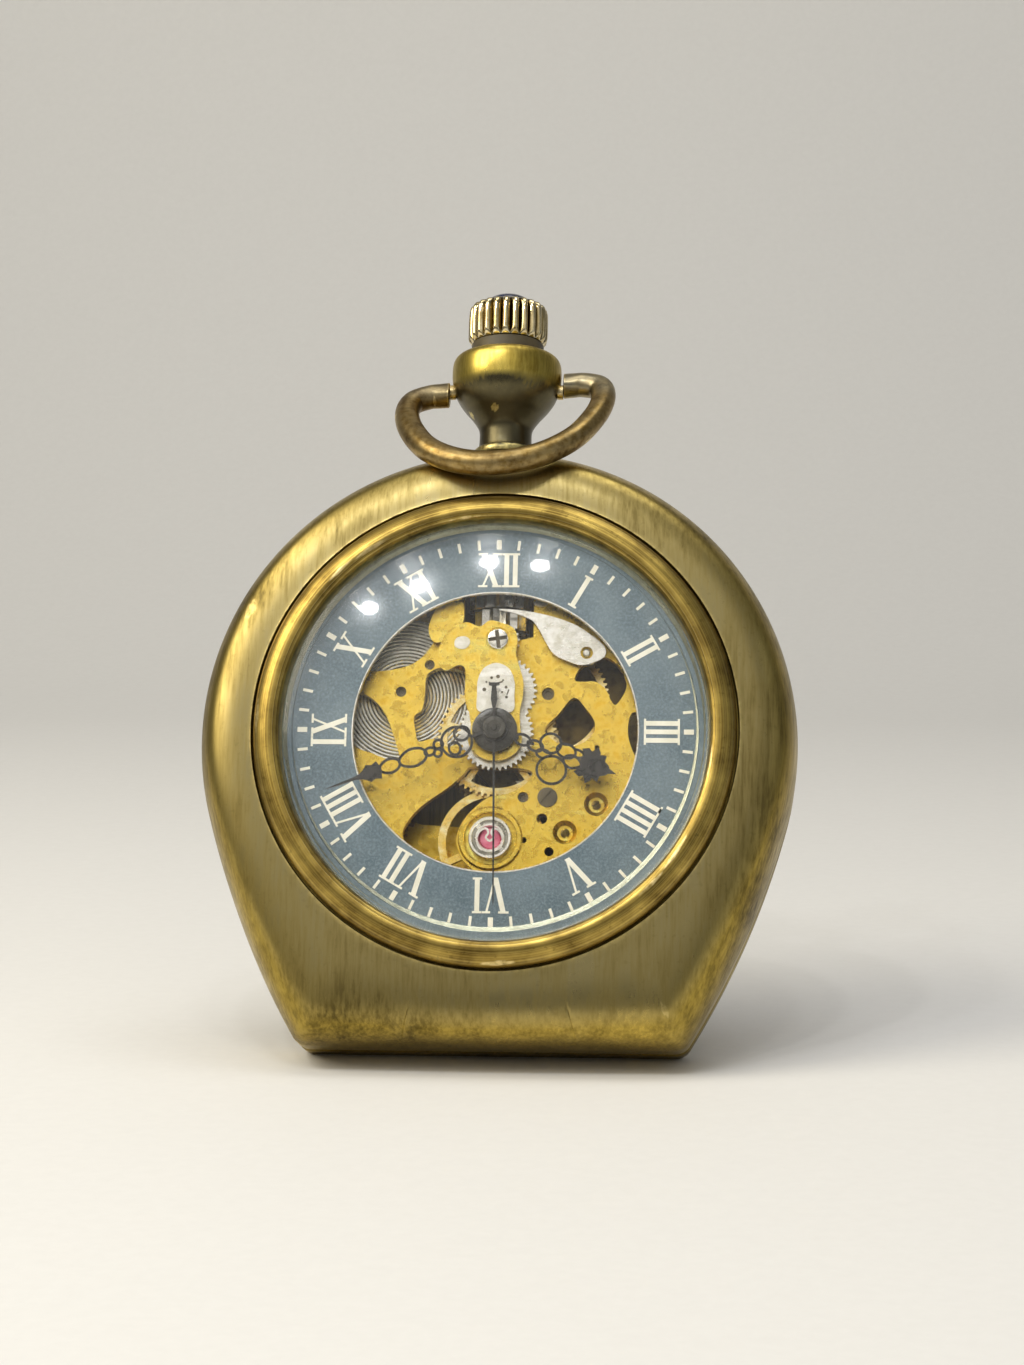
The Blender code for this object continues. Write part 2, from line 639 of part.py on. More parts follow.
def make_winding_wheels(steel):
    """The crown wheel and ratchet wheel, the barrel's arbor and the click."""
    module = pair_module(BARREL, CROWN_WHEEL, RATCHET_TEETH, CROWN_WHEEL_TEETH)
    line = bearing(BARREL, CROWN_WHEEL)
    ratchet = toothed(RATCHET_TEETH, 0.5 * module * RATCHET_TEETH, module, line, BARREL)
    built("ratchet_wheel", steel, centre3(BARREL),
          [prism(ratchet, 2.76, 3.2, [circle(0.62, 12, BARREL)])])
    crown = toothed(
        CROWN_WHEEL_TEETH, 0.5 * module * CROWN_WHEEL_TEETH, module,
        line + 180.0 + 180.0 / CROWN_WHEEL_TEETH,
        CROWN_WHEEL,
    )
    built("crown_wheel", steel, centre3(CROWN_WHEEL),
          [prism(crown, 2.76, 3.2, [circle(0.8, 12, CROWN_WHEEL)])])
    hub = turned([(0.0, 2.74), (0.74, 2.74), (0.74, 3.3), (0.0, 3.3)], 16, centre3(CROWN_WHEEL))
    cap = turned([(0.0, 3.22), (1.5, 3.22), (1.5, 3.5), (0.0, 3.5)], 16, centre3(CROWN_WHEEL))
    built("crown_wheel_hub", steel, centre3(CROWN_WHEEL), [hub, cap])
    arbor = [
        (0.0, -1.55), (0.6, -1.55), (0.6, -0.48), (1.6, -0.46), (1.6, 0.7), (0.55, 0.9),
        (0.55, 3.22), (1.1, 3.22), (1.1, 3.5), (0.0, 3.5),
    ]
    built("barrel_arbor", steel, centre3(BARREL), [turned(arbor, 14, centre3(BARREL))])
    tip = 0.5 * module * RATCHET_TEETH + 0.85 * module
    near = polar(tip + 0.2, 180.0, BARREL)
    click = [
        near, (near[0] - 0.5, near[1] + 0.7), (near[0] - 1.4, near[1] - 1.9),
        (near[0] - 0.9, near[1] - 2.6), (near[0] - 0.1, near[1] - 2.2),
    ]
    built("click", steel, (near[0] - 0.75, 2.98, near[1] - 2.0), [prism(click, 2.76, 3.2)])


def make_barrel(gold, steel):
    module = pair_module(BARREL, CENTRE, BARREL_TEETH, CENTRE_PINION)
    line = bearing(BARREL, CENTRE)
    ring = toothed(BARREL_TEETH, 0.5 * module * BARREL_TEETH, module, line, BARREL)
    base = prism(ring, -1.05, -0.55, [circle(0.7, 14, BARREL)])
    drum = turned([(5.9, -0.7), (6.35, -0.7), (6.35, 0.9), (5.9, 0.9)], 40, centre3(BARREL))
    built("barrel", gold, centre3(BARREL), [base, drum])
    coil = spiral(1.72, 5.5, 3.0, 0.3, 14)
    built("mainspring", steel, centre3(BARREL), [prism(moved(coil, BARREL), -0.45, 0.6)])


def spiral(inner, outer, turns, thick, steps):
    """A flat strip wound out from the middle."""
    count = int(turns * steps)
    near = []
    far = []
    for k in range(count + 1):
        radius = inner + (outer - inner) * k / count
        near.append(polar(radius, 360.0 * k / steps))
        far.append(polar(radius + thick, 360.0 * k / steps))
    return near + far[::-1]


def make_train(gold, steel):
    """Centre, third, fourth and escape wheels with their pinions and arbors."""
    drive = pair_module(BARREL, CENTRE, BARREL_TEETH, CENTRE_PINION)
    to_third = pair_module(CENTRE, THIRD, CENTRE_TEETH, THIRD_PINION)
    to_fourth = pair_module(THIRD, CENTRE, THIRD_TEETH, FOURTH_PINION)
    to_escape = pair_module(CENTRE, ESCAPE, FOURTH_TEETH, ESCAPE_PINION)
    barrel_line = bearing(CENTRE, BARREL)
    third_line = bearing(CENTRE, THIRD)
    fourth_line = bearing(THIRD, CENTRE)
    escape_line = bearing(CENTRE, ESCAPE)

    bore = circle(0.22, 10)
    wheel = toothed(CENTRE_TEETH, 0.5 * to_third * CENTRE_TEETH, to_third, third_line, CENTRE)
    pinion = leaved(CENTRE_PINION, 0.5 * drive * CENTRE_PINION, drive,
                    barrel_line + 180.0 / CENTRE_PINION, CENTRE)
    built("centre_wheel", gold, centre3(CENTRE), [
        prism(wheel, -1.4, -1.2, [bore, *crossings(5, 1.45, 3.95, 0.5, CENTRE, 20.0)]),
        prism(pinion, -1.25, -0.5, [bore]),
        sleeve(0.22, 0.5, -2.45, -1.3, CENTRE, 10),
    ])

    leaf = leaved(THIRD_PINION, 0.5 * to_third * THIRD_PINION, to_third,
                  third_line + 180.0 + 180.0 / THIRD_PINION, THIRD)
    wheel = toothed(THIRD_TEETH, 0.5 * to_fourth * THIRD_TEETH, to_fourth, fourth_line, THIRD)
    built("third_wheel", gold, centre3(THIRD), [
        prism(wheel, 0.0, 0.2, crossings(4, 0.9, 4.05, 0.45, THIRD, 10.0)),
        prism(leaf, -1.5, -1.05),
        disc(0.3, -1.3, 0.1, THIRD, 10),
        disc(0.15, 0.1, 2.3, THIRD, 8),
    ])

    leaf = leaved(
        FOURTH_PINION, 0.5 * to_fourth * FOURTH_PINION, to_fourth,
        fourth_line + 180.0 + 180.0 / FOURTH_PINION, CENTRE,
    )
    wheel = toothed(FOURTH_TEETH, 0.5 * to_escape * FOURTH_TEETH, to_escape, escape_line, CENTRE)
    built("fourth_wheel", gold, centre3(CENTRE), [
        prism(wheel, 1.05, 1.25, crossings(4, 0.9, 4.3, 0.45, CENTRE, 35.0)),
        prism(leaf, -0.2, 0.4),
        disc(0.15, -5.05, 2.3, CENTRE, 8),
        disc(0.35, 0.3, 1.15, CENTRE, 10),
    ])

    leaf = leaved(
        ESCAPE_PINION, 0.5 * to_escape * ESCAPE_PINION, to_escape,
        escape_line + 180.0 + 180.0 / ESCAPE_PINION, ESCAPE,
    )
    wheel = toothed(ESCAPE_TEETH, 2.0, 0.28, 0.0, ESCAPE, 0.3)
    built("escape_wheel", steel, centre3(ESCAPE), [
        prism(wheel, 0.3, 0.5, crossings(4, 0.55, 1.4, 0.3, ESCAPE)),
        prism(leaf, 0.85, 1.45),
        disc(0.25, 0.4, 0.95, ESCAPE, 8),
        disc(0.14, -1.55, 2.3, ESCAPE, 8),
    ])


def make_escapement(gold, steel, blue):
    """Pallet fork, balance with its roller and staff, and the hairspring."""
    line = bearing(PALLET, BALANCE)
    reach = distance(PALLET, BALANCE)
    fork = [
        (-0.62, -1.8), (-0.3, -1.95), (0.45, -0.5), (0.6, -0.2), (reach - 1.15, -0.14),
        (reach - 0.85, -0.38), (reach - 0.7, -0.34), (reach - 0.85, -0.05), (reach - 0.85, 0.05),
        (reach - 0.7, 0.34), (reach - 0.85, 0.38), (reach - 1.15, 0.14), (0.6, 0.2), (0.45, 0.5),
        (-0.3, 1.95), (-0.62, 1.8), (0.06, 0.5), (0.06, -0.5),
    ]
    outline = turned_outline(fork, line, PALLET)
    arbor = disc(0.16, -0.3, 0.9, PALLET, 8)
    built("pallet_fork", steel, centre3(PALLET), [prism(outline, 0.3, 0.5), arbor])
    rim = prism(circle(4.2, 40, BALANCE), -0.9, -0.4, [
        *crossings(2, 0.7, 3.6, 0.55, BALANCE, 25.0),
    ])
    built("balance_wheel", gold, centre3(BALANCE), [
        rim,
        disc(0.22, -1.55, 1.7, BALANCE, 10),
        disc(0.55, 0.2, 0.6, BALANCE, 14),
    ])
    coil = spiral(0.5, 2.2, 4.0, 0.12, 12)
    built("hairspring", blue, centre3(BALANCE), [prism(moved(coil, BALANCE), 0.75, 0.95)])


def make_motion_work(gold, steel):
    """Cannon pinion, minute wheel, hour wheel and setting wheel under the hands."""
    first = pair_module(CENTRE, MINUTE_WHEEL, CANNON_TEETH, MINUTE_TEETH)
    second = pair_module(CENTRE, MINUTE_WHEEL, HOUR_TEETH, MINUTE_PINION)
    line = bearing(CENTRE, MINUTE_WHEEL)
    setting_line = bearing(MINUTE_WHEEL, SETTING_WHEEL)
    back = PLATE_FRONT - 0.03

    bore = circle(0.22, 10)
    cannon = leaved(CANNON_TEETH, 0.5 * first * CANNON_TEETH, first, line, CENTRE)
    built("cannon_pinion", steel, centre3(CENTRE), [
        prism(cannon, -2.9, back, [bore]),
        sleeve(0.22, 0.4, -4.88, -2.8, CENTRE, 12),
    ])

    wheel = toothed(MINUTE_TEETH, 0.5 * first * MINUTE_TEETH, first,
                    line + 180.0 + 180.0 / MINUTE_TEETH, MINUTE_WHEEL)
    leaf = leaved(MINUTE_PINION, 0.5 * second * MINUTE_PINION, second, line + 180.0, MINUTE_WHEEL)
    built("minute_wheel", gold, centre3(MINUTE_WHEEL), [
        prism(wheel, -2.8, back),
        prism(leaf, -3.4, -2.7),
    ])

    hour = toothed(HOUR_TEETH, 0.5 * second * HOUR_TEETH, second, line + 180.0 / HOUR_TEETH, CENTRE)
    built("hour_wheel", gold, centre3(CENTRE), [
        prism(hour, -3.3, -3.0, [circle(0.45, 16)]),
        sleeve(0.45, 0.8, -4.52, -3.1, CENTRE, 16),
    ])

    setting = toothed(
        SETTING_TEETH, 0.5 * first * SETTING_TEETH, first,
        setting_line + 180.0 + 180.0 / SETTING_TEETH, SETTING_WHEEL,
    )
    built("setting_wheel", steel, centre3(SETTING_WHEEL), [prism(setting, -2.8, back)])


def hand(half, hub, bore, front, back, clock):
    """A flat hand drawn pointing up as its right half, then turned to its clock angle."""
    left = [(-x, z) for x, z in reversed(half) if x > 1e-6]
    blade = turned_outline(half + left, -clock)
    boss = sleeve(bore, hub, front, back, CENTRE, 20)
    return [prism(blade, front, back), boss]


def make_hands(black):
    """Serpentine hour and minute hands and a thin centre seconds hand."""
    hour = [(0.35, 0.65), (0.3, 2.6), (0.85, 3.4), (0.9, 4.2), (0.35, 4.9), (1.15, 5.7), (1.2, 6.6),
            (0.5, 7.4),
            (0.7, 8.0), (0.2, 8.7), (0.0, 9.4)]
    parts = hand(hour, 1.35, 0.5, -4.66, -4.54, HOUR_ANGLE)
    built("hour_hand", black, centre3(CENTRE), parts)
    minute = [(0.3, 0.4), (0.26, 4.0), (0.65, 5.0), (0.7, 6.0), (0.25, 7.0), (0.7, 8.0), (0.6, 9.0),
              (0.25, 10.0),
              (0.12, 12.0), (0.0, 13.95)]
    parts = hand(minute, 1.05, 0.25, -5.02, -4.9, MINUTE_ANGLE)
    built("minute_hand", black, centre3(CENTRE), parts)
    seconds = [(0.28, -3.6), (0.12, -2.2), (0.14, 0.0), (0.06, 13.8), (0.0, 14.0)]
    left = [(-x, z) for x, z in reversed(seconds) if x > 1e-6]
    blade = prism(turned_outline(seconds + left, -SECONDS_ANGLE), -5.26, -5.14)
    boss = disc(0.85, -5.36, -5.1, CENTRE, 20)
    built("seconds_hand", black, centre3(CENTRE), [blade, boss])


def make_dial(slate, brass):
    dial = turned([(DIAL_INNER, DIAL_FRONT), (DIAL_OUTER, DIAL_FRONT), (DIAL_OUTER, DIAL_BACK),
                   (DIAL_INNER, DIAL_BACK)], 56)
    built("dial_ring", slate, (0.0, 0.0, 0.0), [dial])
    gap = math.degrees(math.asin(2.9 / 16.0))
    ring = sector(16.02, 17.4, 90.0 + gap, 450.0 - gap, 36)
    inner_ring = sector(15.2, 16.1, 90.0 + gap, 450.0 - gap, 36)
    built("movement_ring", brass, (0.0, 0.0, 0.0), [
        prism(ring, DIAL_BACK + 0.04, 1.35),
        prism(inner_ring, DIAL_BACK + 0.04, PLATE_FRONT - 0.04),
    ])
    for name, turn in (("case_clamp_left", 150.0), ("case_clamp_right", 30.0)):
        clamp = prism(sector(15.5, 17.3, turn - 6.0, turn + 6.0, 3), 1.42, 1.72)
        built(name, brass, (0.0, 0.0, 0.0), [clamp])


def main():
    clear_scene()
    brass = finish("antique_brass", (0.25, 0.16, 0.06), 0.38, 1.0)
    polished = finish("polished_brass", (0.42, 0.27, 0.09), 0.22, 1.0)
    gilt = finish("gilt_brass", (0.5, 0.36, 0.14), 0.35, 1.0)
    steel = finish("grey_steel", (0.32, 0.32, 0.33), 0.3, 1.0)
    silver = finish("bright_silver", (0.6, 0.6, 0.58), 0.3, 1.0)
    blue = finish("blued_steel", (0.05, 0.07, 0.16), 0.3, 1.0)
    slate = finish("slate_dial", (0.17, 0.23, 0.28), 0.55, 0.0)
    black = finish("black_enamel", (0.012, 0.012, 0.014), 0.35, 0.0)
    ruby = finish("jewel_ruby", (0.45, 0.05, 0.12), 0.15, 0.0)
    stone = finish("cabochon_stone", (0.012, 0.014, 0.03), 0.1, 0.0)
    clear = finish("clear_crystal", (0.9, 0.92, 0.92), 0.05, 0.0)

    make_case_front(brass)
    make_case_back(brass)
    make_bezel(polished)
    make_crystal(clear)
    make_pendant(brass)
    make_crown(polished, stone)
    make_bow(brass)
    make_keyless_works(steel)
    make_main_plate(gilt)
    make_dial_side(gilt, silver, ruby)
    make_screws(steel)
    make_bridges(gilt)
    make_winding_wheels(steel)
    make_barrel(gilt, steel)
    make_train(gilt, steel)
    make_escapement(gilt, steel, blue)
    make_motion_work(gilt, steel)
    make_dial(slate, brass)
    make_hands(black)


main()
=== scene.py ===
# %% [markdown]
# # An open face pocket watch
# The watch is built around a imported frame: solids that already have the right size, place and joints.
# This script gives each of them its finished shape and surface. Lengths are written in millimetres
# from the centre of the dial, because a watch is drawn about that point, and become metres at the end.

# %% Load the frame
import math

import bmesh
import bpy
from mathutils import Matrix, Vector
from mathutils.geometry import tessellate_polygon


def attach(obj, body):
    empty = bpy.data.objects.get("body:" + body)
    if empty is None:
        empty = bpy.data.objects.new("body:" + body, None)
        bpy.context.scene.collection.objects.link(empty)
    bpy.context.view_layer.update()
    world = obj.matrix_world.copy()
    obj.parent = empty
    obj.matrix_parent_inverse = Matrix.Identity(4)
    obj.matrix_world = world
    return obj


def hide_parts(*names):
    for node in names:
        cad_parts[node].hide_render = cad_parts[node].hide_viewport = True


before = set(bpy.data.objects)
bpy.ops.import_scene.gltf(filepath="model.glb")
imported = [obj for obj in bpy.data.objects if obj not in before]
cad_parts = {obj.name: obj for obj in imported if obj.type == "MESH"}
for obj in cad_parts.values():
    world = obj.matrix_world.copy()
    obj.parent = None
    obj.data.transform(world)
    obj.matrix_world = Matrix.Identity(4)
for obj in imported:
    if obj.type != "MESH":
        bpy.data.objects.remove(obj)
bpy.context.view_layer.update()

MM = 0.001
DIAL_HEIGHT = 24.4
DIAL_CENTRE = (0.0, 0.0, DIAL_HEIGHT * MM)

# %% [markdown]
# ## Drawing helpers
# Nearly every part of a watch is one of three things: a flat piece sawn from sheet, a turned piece, or
# a skin stretched over cross-sections. One helper for each keeps the later cells short. Curved outlines
# go through a few points with a Catmull-Rom spline, which passes through the points it is given.

# %% Points, circles and smooth outlines
def polar(radius, degrees, centre=(0.0, 0.0)):
    turn = math.radians(degrees)
    return (centre[0] + radius * math.cos(turn), centre[1] + radius * math.sin(turn))


def circle(radius, count, centre=(0.0, 0.0)):
    return [polar(radius, 360.0 * k / count, centre) for k in range(count)]


def distance(start, end):
    return math.hypot(end[0] - start[0], end[1] - start[1])


def bearing(start, end):
    return math.degrees(math.atan2(end[1] - start[1], end[0] - start[0]))


def heading(start, end):
    """The direction from one point to another, as a vector one unit long."""
    return Vector((end[0] - start[0], end[1] - start[1])).normalized()


def spline_point(a, b, c, d, t):
    return tuple(
        0.5 * (2 * q + (r - p) * t + (2 * p - 5 * q + 4 * r - s) * t * t + (3 * q - p - 3 * r + s) * t ** 3)
        for p, q, r, s in zip(a, b, c, d)
    )


def smooth_loop(points, steps):
    count = len(points)
    made = []
    for k in range(count):
        corners = [points[(k + shift) % count] for shift in (-1, 0, 1, 2)]
        made += [spline_point(*corners, step / steps) for step in range(steps)]
    return made


def smooth_path(points, steps):
    ends = [points[0], *points, points[-1]]
    made = []
    for k in range(len(points) - 1):
        made += [spline_point(*ends[k:k + 4], step / steps) for step in range(steps)]
    return [*made, tuple(points[-1])]


def turned_outline(outline, degrees, centre=(0.0, 0.0)):
    turn = math.radians(degrees)
    cos, sin = math.cos(turn), math.sin(turn)
    return [(centre[0] + x * cos - z * sin, centre[1] + x * sin + z * cos) for x, z in outline]


# %% Flat, turned and stretched shapes
def prism(outline, front, back, holes=()):
    """Points and faces of a flat plate between two depths."""
    loops = [outline, *holes]
    flat = [point for loop in loops for point in loop]
    count = len(flat)
    points = [(x, front, z) for x, z in flat] + [(x, back, z) for x, z in flat]
    caps = tessellate_polygon([[Vector((x, z, 0.0)) for x, z in loop] for loop in loops])
    faces = [tuple(cap) for cap in caps]
    faces += [tuple(count + index for index in reversed(cap)) for cap in caps]
    first = 0
    for loop in loops:
        size = len(loop)
        for k in range(size):
            here, there = first + k, first + (k + 1) % size
            faces.append((here, there, count + there, count + here))
        first += size
    return points, faces


def turned(profile, count, centre=(0.0, 0.0), along="Y"):
    """A closed profile of (radius, distance along) turned about a vertical or a front-to-back axis."""
    points = []
    rings = []
    for radius, reach in profile:
        steps = 1 if radius < 1e-6 else count
        rings.append([len(points) + (k if steps > 1 else 0) for k in range(count)])
        for k in range(steps):
            turn = math.tau * k / count
            across, up = radius * math.cos(turn), radius * math.sin(turn)
            if along == "Y":
                points.append((centre[0] + across, reach, centre[1] + up))
            else:
                points.append((centre[0] + across, centre[1] + up, reach))
    faces = []
    for k, ring in enumerate(rings):
        after = rings[(k + 1) % len(rings)]
        for j in range(count):
            corners = (ring[j], ring[(j + 1) % count], after[(j + 1) % count], after[j])
            face = tuple(dict.fromkeys(corners))
            if len(face) > 2:
                faces.append(face)
    return points, faces


def loft(loops, capped=False):
    """A skin over loops. Uncapped, the last loop joins the first, as round a ring."""
    count = len(loops[0])
    points = [point for loop in loops for point in loop]
    faces = []
    for k in range(len(loops) - (1 if capped else 0)):
        start, after = k * count, ((k + 1) % len(loops)) * count
        for j in range(count):
            here = (j + 1) % count
            faces.append((start + j, start + here, after + here, after + j))
    if capped:
        faces.append(tuple(range(count)))
        faces.append(tuple(reversed(range(len(points) - count, len(points)))))
    return points, faces


def disc(radius, front, back, centre=(0.0, 0.0), count=32):
    return turned([(0.0, front), (radius, front), (radius, back), (0.0, back)], count, centre)


def sleeve(inner, outer, front, back, centre=(0.0, 0.0), count=48):
    return turned([(inner, front), (outer, front), (outer, back), (inner, back)], count, centre)


# %% [markdown]
# A finished piece may be several shapes. Where they meet they are joined with a Boolean union, as if
# soldered, so that a bevel can run round the result. A narrow bevel matters on metal: real edges are
# never perfectly sharp, and it is the bevel that catches the light.

# %% Make a piece
def put_in_scene(made):
    bpy.context.scene.collection.objects.link(made)


def add_mesh(name, shape, material):
    points, faces = shape
    mesh = bpy.data.meshes.new(name)
    mesh.from_pydata([(x * MM, y * MM, (z + DIAL_HEIGHT) * MM) for x, y, z in points], [], faces)
    work = bmesh.new()
    work.from_mesh(mesh)
    bmesh.ops.remove_doubles(work, verts=work.verts, dist=1e-8)
    bmesh.ops.recalc_face_normals(work, faces=work.faces)
    work.to_mesh(mesh)
    work.free()
    mesh.materials.append(material)
    made = bpy.data.objects.new(name, mesh)
    put_in_scene(made)
    return made


def join_shape(base, shape, operation="UNION"):
    tool = add_mesh("tool", shape, base.data.materials[0])
    step = base.modifiers.new("join", "BOOLEAN")
    step.operation = operation
    step.solver = "EXACT"
    step.object = tool
    bpy.context.view_layer.update()
    graph = bpy.context.evaluated_depsgraph_get()
    result = bpy.data.meshes.new_from_object(base.evaluated_get(graph))
    base.modifiers.clear()
    base.data = result
    bpy.data.objects.remove(tool, do_unlink=True)


def make_piece(name, shapes, material, body, bevel=0.0, steps=2, stands_for=(), smooth=35.0, cuts=()):
    """One piece of the watch, riding on its body and standing for its solids."""
    piece = add_mesh(name, shapes[0], material)
    for shape in shapes[1:]:
        join_shape(piece, shape)
    for shape in cuts:
        join_shape(piece, shape, "DIFFERENCE")
    piece.data.shade_smooth()
    piece.data.set_sharp_from_angle(angle=math.radians(smooth))
    if bevel:
        edge = piece.modifiers.new("soft_edge", "BEVEL")
        edge.width = bevel * MM
        edge.segments = steps
        edge.limit_method = "ANGLE"
        edge.angle_limit = math.radians(40.0)
        edge.use_clamp_overlap = True
        edge.harden_normals = True
    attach(piece, body)
    if stands_for:
        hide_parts(*stands_for)
    return piece


# %% [markdown]
# ## Surface effects
# The case is old brass: brushed once, darkened since, and rubbed bright again where hands touch it.
# Each of those is an effect that several materials share, so each is a small node group with named
# inputs. A material then mixes the effects by its own amounts.

# %% Node helpers
def new_group(name, inputs, outputs):
    group = bpy.data.node_groups.new(name, "ShaderNodeTree")
    for label, kind, value in inputs:
        made = group.interface.new_socket(name=label, in_out="INPUT", socket_type=kind)
        made.default_value = value
    for label, kind in outputs:
        group.interface.new_socket(name=label, in_out="OUTPUT", socket_type=kind)
    return group, group.nodes.new("NodeGroupInput"), group.nodes.new("NodeGroupOutput")


def math_node(tree, operation, *values):
    node = tree.nodes.new("ShaderNodeMath")
    node.operation = operation
    for k, value in enumerate(values):
        if isinstance(value, (int, float)):
            node.inputs[k].default_value = value
        else:
            tree.links.new(value, node.inputs[k])
    return node.outputs[0]


def vector_node(tree, operation, first, second=None):
    node = tree.nodes.new("ShaderNodeVectorMath")
    node.operation = operation
    tree.links.new(first, node.inputs[0])
    if isinstance(second, tuple):
        node.inputs[1].default_value = second
    elif second is not None:
        tree.links.new(second, node.inputs[1])
    return node.outputs["Value" if operation == "LENGTH" else 0]


def scaled_place(tree, stretch=(1.0, 1.0, 1.0)):
    """Object coordinates multiplied by a vector, for grain that runs one way."""
    place = tree.nodes.new("ShaderNodeTexCoord")
    return vector_node(tree, "MULTIPLY", place.outputs["Object"], stretch)


def split_place(tree):
    """Object coordinates as three numbers."""
    parts = tree.nodes.new("ShaderNodeSeparateXYZ")
    tree.links.new(scaled_place(tree), parts.inputs[0])
    return parts.outputs


def noise_node(tree, vector, scale, detail=3.0, rough=0.5):
    noise = tree.nodes.new("ShaderNodeTexNoise")
    noise.inputs["Detail"].default_value = detail
    noise.inputs["Roughness"].default_value = rough
    tree.links.new(vector, noise.inputs["Vector"])
    if isinstance(scale, (int, float)):
        noise.inputs["Scale"].default_value = scale
    else:
        tree.links.new(scale, noise.inputs["Scale"])
    return noise.outputs["Fac"]


def spread(tree, value, low, high, to_low=0.0, to_high=1.0):
    node = tree.nodes.new("ShaderNodeMapRange")
    node.inputs["From Min"].default_value = low
    node.inputs["From Max"].default_value = high
    node.inputs["To Min"].default_value = to_low
    node.inputs["To Max"].default_value = to_high
    tree.links.new(value, node.inputs["Value"])
    return node.outputs["Result"]


# %% Brushed grain
def make_grain_group():
    """Fine parallel lines. The stretch says which way they run."""
    group, given, result = new_group(
        "brushed_grain",
        [("Stretch", "NodeSocketVector", (9000.0, 9000.0, 500.0))],
        [("Height", "NodeSocketFloat"), ("Streak", "NodeSocketFloat")],
    )
    place = scaled_place(group, given.outputs["Stretch"])
    fine = noise_node(group, place, 1.0, 3.0, 0.6)
    broad = noise_node(group, place, 0.22, 2.0, 0.5)
    both = math_node(group, "ADD", math_node(group, "MULTIPLY", fine, 0.6),
                     math_node(group, "MULTIPLY", broad, 0.4))
    group.links.new(both, result.inputs["Height"])
    group.links.new(spread(group, both, 0.38, 0.62), result.inputs["Streak"])
    return group


# %% Age: darkening and dust
def make_age_group():
    """Uneven darkening in soft patches, with small pits of dirt."""
    group, given, result = new_group(
        "age_patches",
        [("Patch Scale", "NodeSocketFloat", 120.0), ("Pit Scale", "NodeSocketFloat", 1800.0)],
        [("Patches", "NodeSocketFloat"), ("Pits", "NodeSocketFloat")],
    )
    place = scaled_place(group)
    patches = noise_node(group, place, given.outputs["Patch Scale"], 4.0, 0.55)
    pits = noise_node(group, place, given.outputs["Pit Scale"], 2.0, 0.5)
    group.links.new(spread(group, patches, 0.35, 0.66), result.inputs["Patches"])
    group.links.new(spread(group, pits, 0.62, 0.7), result.inputs["Pits"])
    return group


# %% Wear along edges, tarnish and painted shade in hollows
def make_wear_and_shade_group():
    """Bright where the metal is convex and often rubbed, dark where it is hollow."""
    group, given, result = new_group(
        "edge_wear_and_hollow_shade",
        [("Breakup Scale", "NodeSocketFloat", 900.0)],
        [("Edge", "NodeSocketFloat"), ("Hollow", "NodeSocketFloat")],
    )
    shape = group.nodes.new("ShaderNodeNewGeometry")
    place = scaled_place(group)
    breakup = noise_node(group, place, given.outputs["Breakup Scale"], 3.0, 0.6)
    edge = spread(group, shape.outputs["Pointiness"], 0.505, 0.56)
    hollow = spread(group, shape.outputs["Pointiness"], 0.495, 0.44)
    group.links.new(math_node(group, "MULTIPLY", edge, spread(group, breakup, 0.3, 0.6)),
                    result.inputs["Edge"])
    group.links.new(hollow, result.inputs["Hollow"])
    return group


# %% Rings left by the lathe
def make_ring_group():
    """Fine circular lines about an axis that runs front to back."""
    group, given, result = new_group(
        "lathe_rings",
        [("Centre", "NodeSocketVector", DIAL_CENTRE), ("Frequency", "NodeSocketFloat", 6000.0)],
        [("Height", "NodeSocketFloat"), ("Streak", "NodeSocketFloat")],
    )
    place = group.nodes.new("ShaderNodeTexCoord")
    offset = vector_node(group, "SUBTRACT", place.outputs["Object"], given.outputs["Centre"])
    flat = vector_node(group, "MULTIPLY", offset, (1.0, 0.0, 1.0))
    reach = math_node(group, "MULTIPLY", vector_node(group, "LENGTH", flat), given.outputs["Frequency"])
    rings = group.nodes.new("ShaderNodeTexNoise")
    rings.noise_dimensions = "1D"
    rings.inputs["Scale"].default_value = 1.0
    rings.inputs["Detail"].default_value = 2.0
    group.links.new(reach, rings.inputs["W"])
    group.links.new(rings.outputs["Fac"], result.inputs["Height"])
    group.links.new(spread(group, rings.outputs["Fac"], 0.35, 0.65), result.inputs["Streak"])
    return group


GRAIN = make_grain_group()
AGE = make_age_group()
WEAR_AND_SHADE = make_wear_and_shade_group()
RINGS = make_ring_group()
print("effects", [group.name for group in bpy.data.node_groups])

# %% [markdown]
# ## Metals
# All the brass and steel parts use the same recipe with other numbers: a deep colour and a bright
# colour, mixed by age patches and streaks, then given an edge colour, which is wear on most metals and
# painted shade on the gilt, and darker hollows, partly tarnish and partly painted shade.
# Roughness follows the streaks, and a bump node turns the grain into tiny grooves.

# %% The metal recipe
def place_group(tree, group, **values):
    node = tree.nodes.new("ShaderNodeGroup")
    node.node_tree = group
    for label, value in values.items():
        node.inputs[label.replace("_", " ")].default_value = value
    return node


def mix_colour(tree, factor, first, second):
    node = tree.nodes.new("ShaderNodeMix")
    node.data_type = "RGBA"
    for value, socket in ((factor, node.inputs[0]), (first, node.inputs[6]), (second, node.inputs[7])):
        if isinstance(value, tuple):
            socket.default_value = (*value, 1.0)
        elif isinstance(value, (int, float)):
            socket.default_value = value
        else:
            tree.links.new(value, socket)
    return node.outputs[2]


def plain_material(name, colour, roughness, metallic=0.0):
    made = bpy.data.materials.new(name)
    made.use_nodes = True
    surface = made.node_tree.nodes["Principled BSDF"]
    surface.inputs["Base Color"].default_value = (*colour, 1.0)
    surface.inputs["Roughness"].default_value = roughness
    surface.inputs["Metallic"].default_value = metallic
    return made, made.node_tree, surface


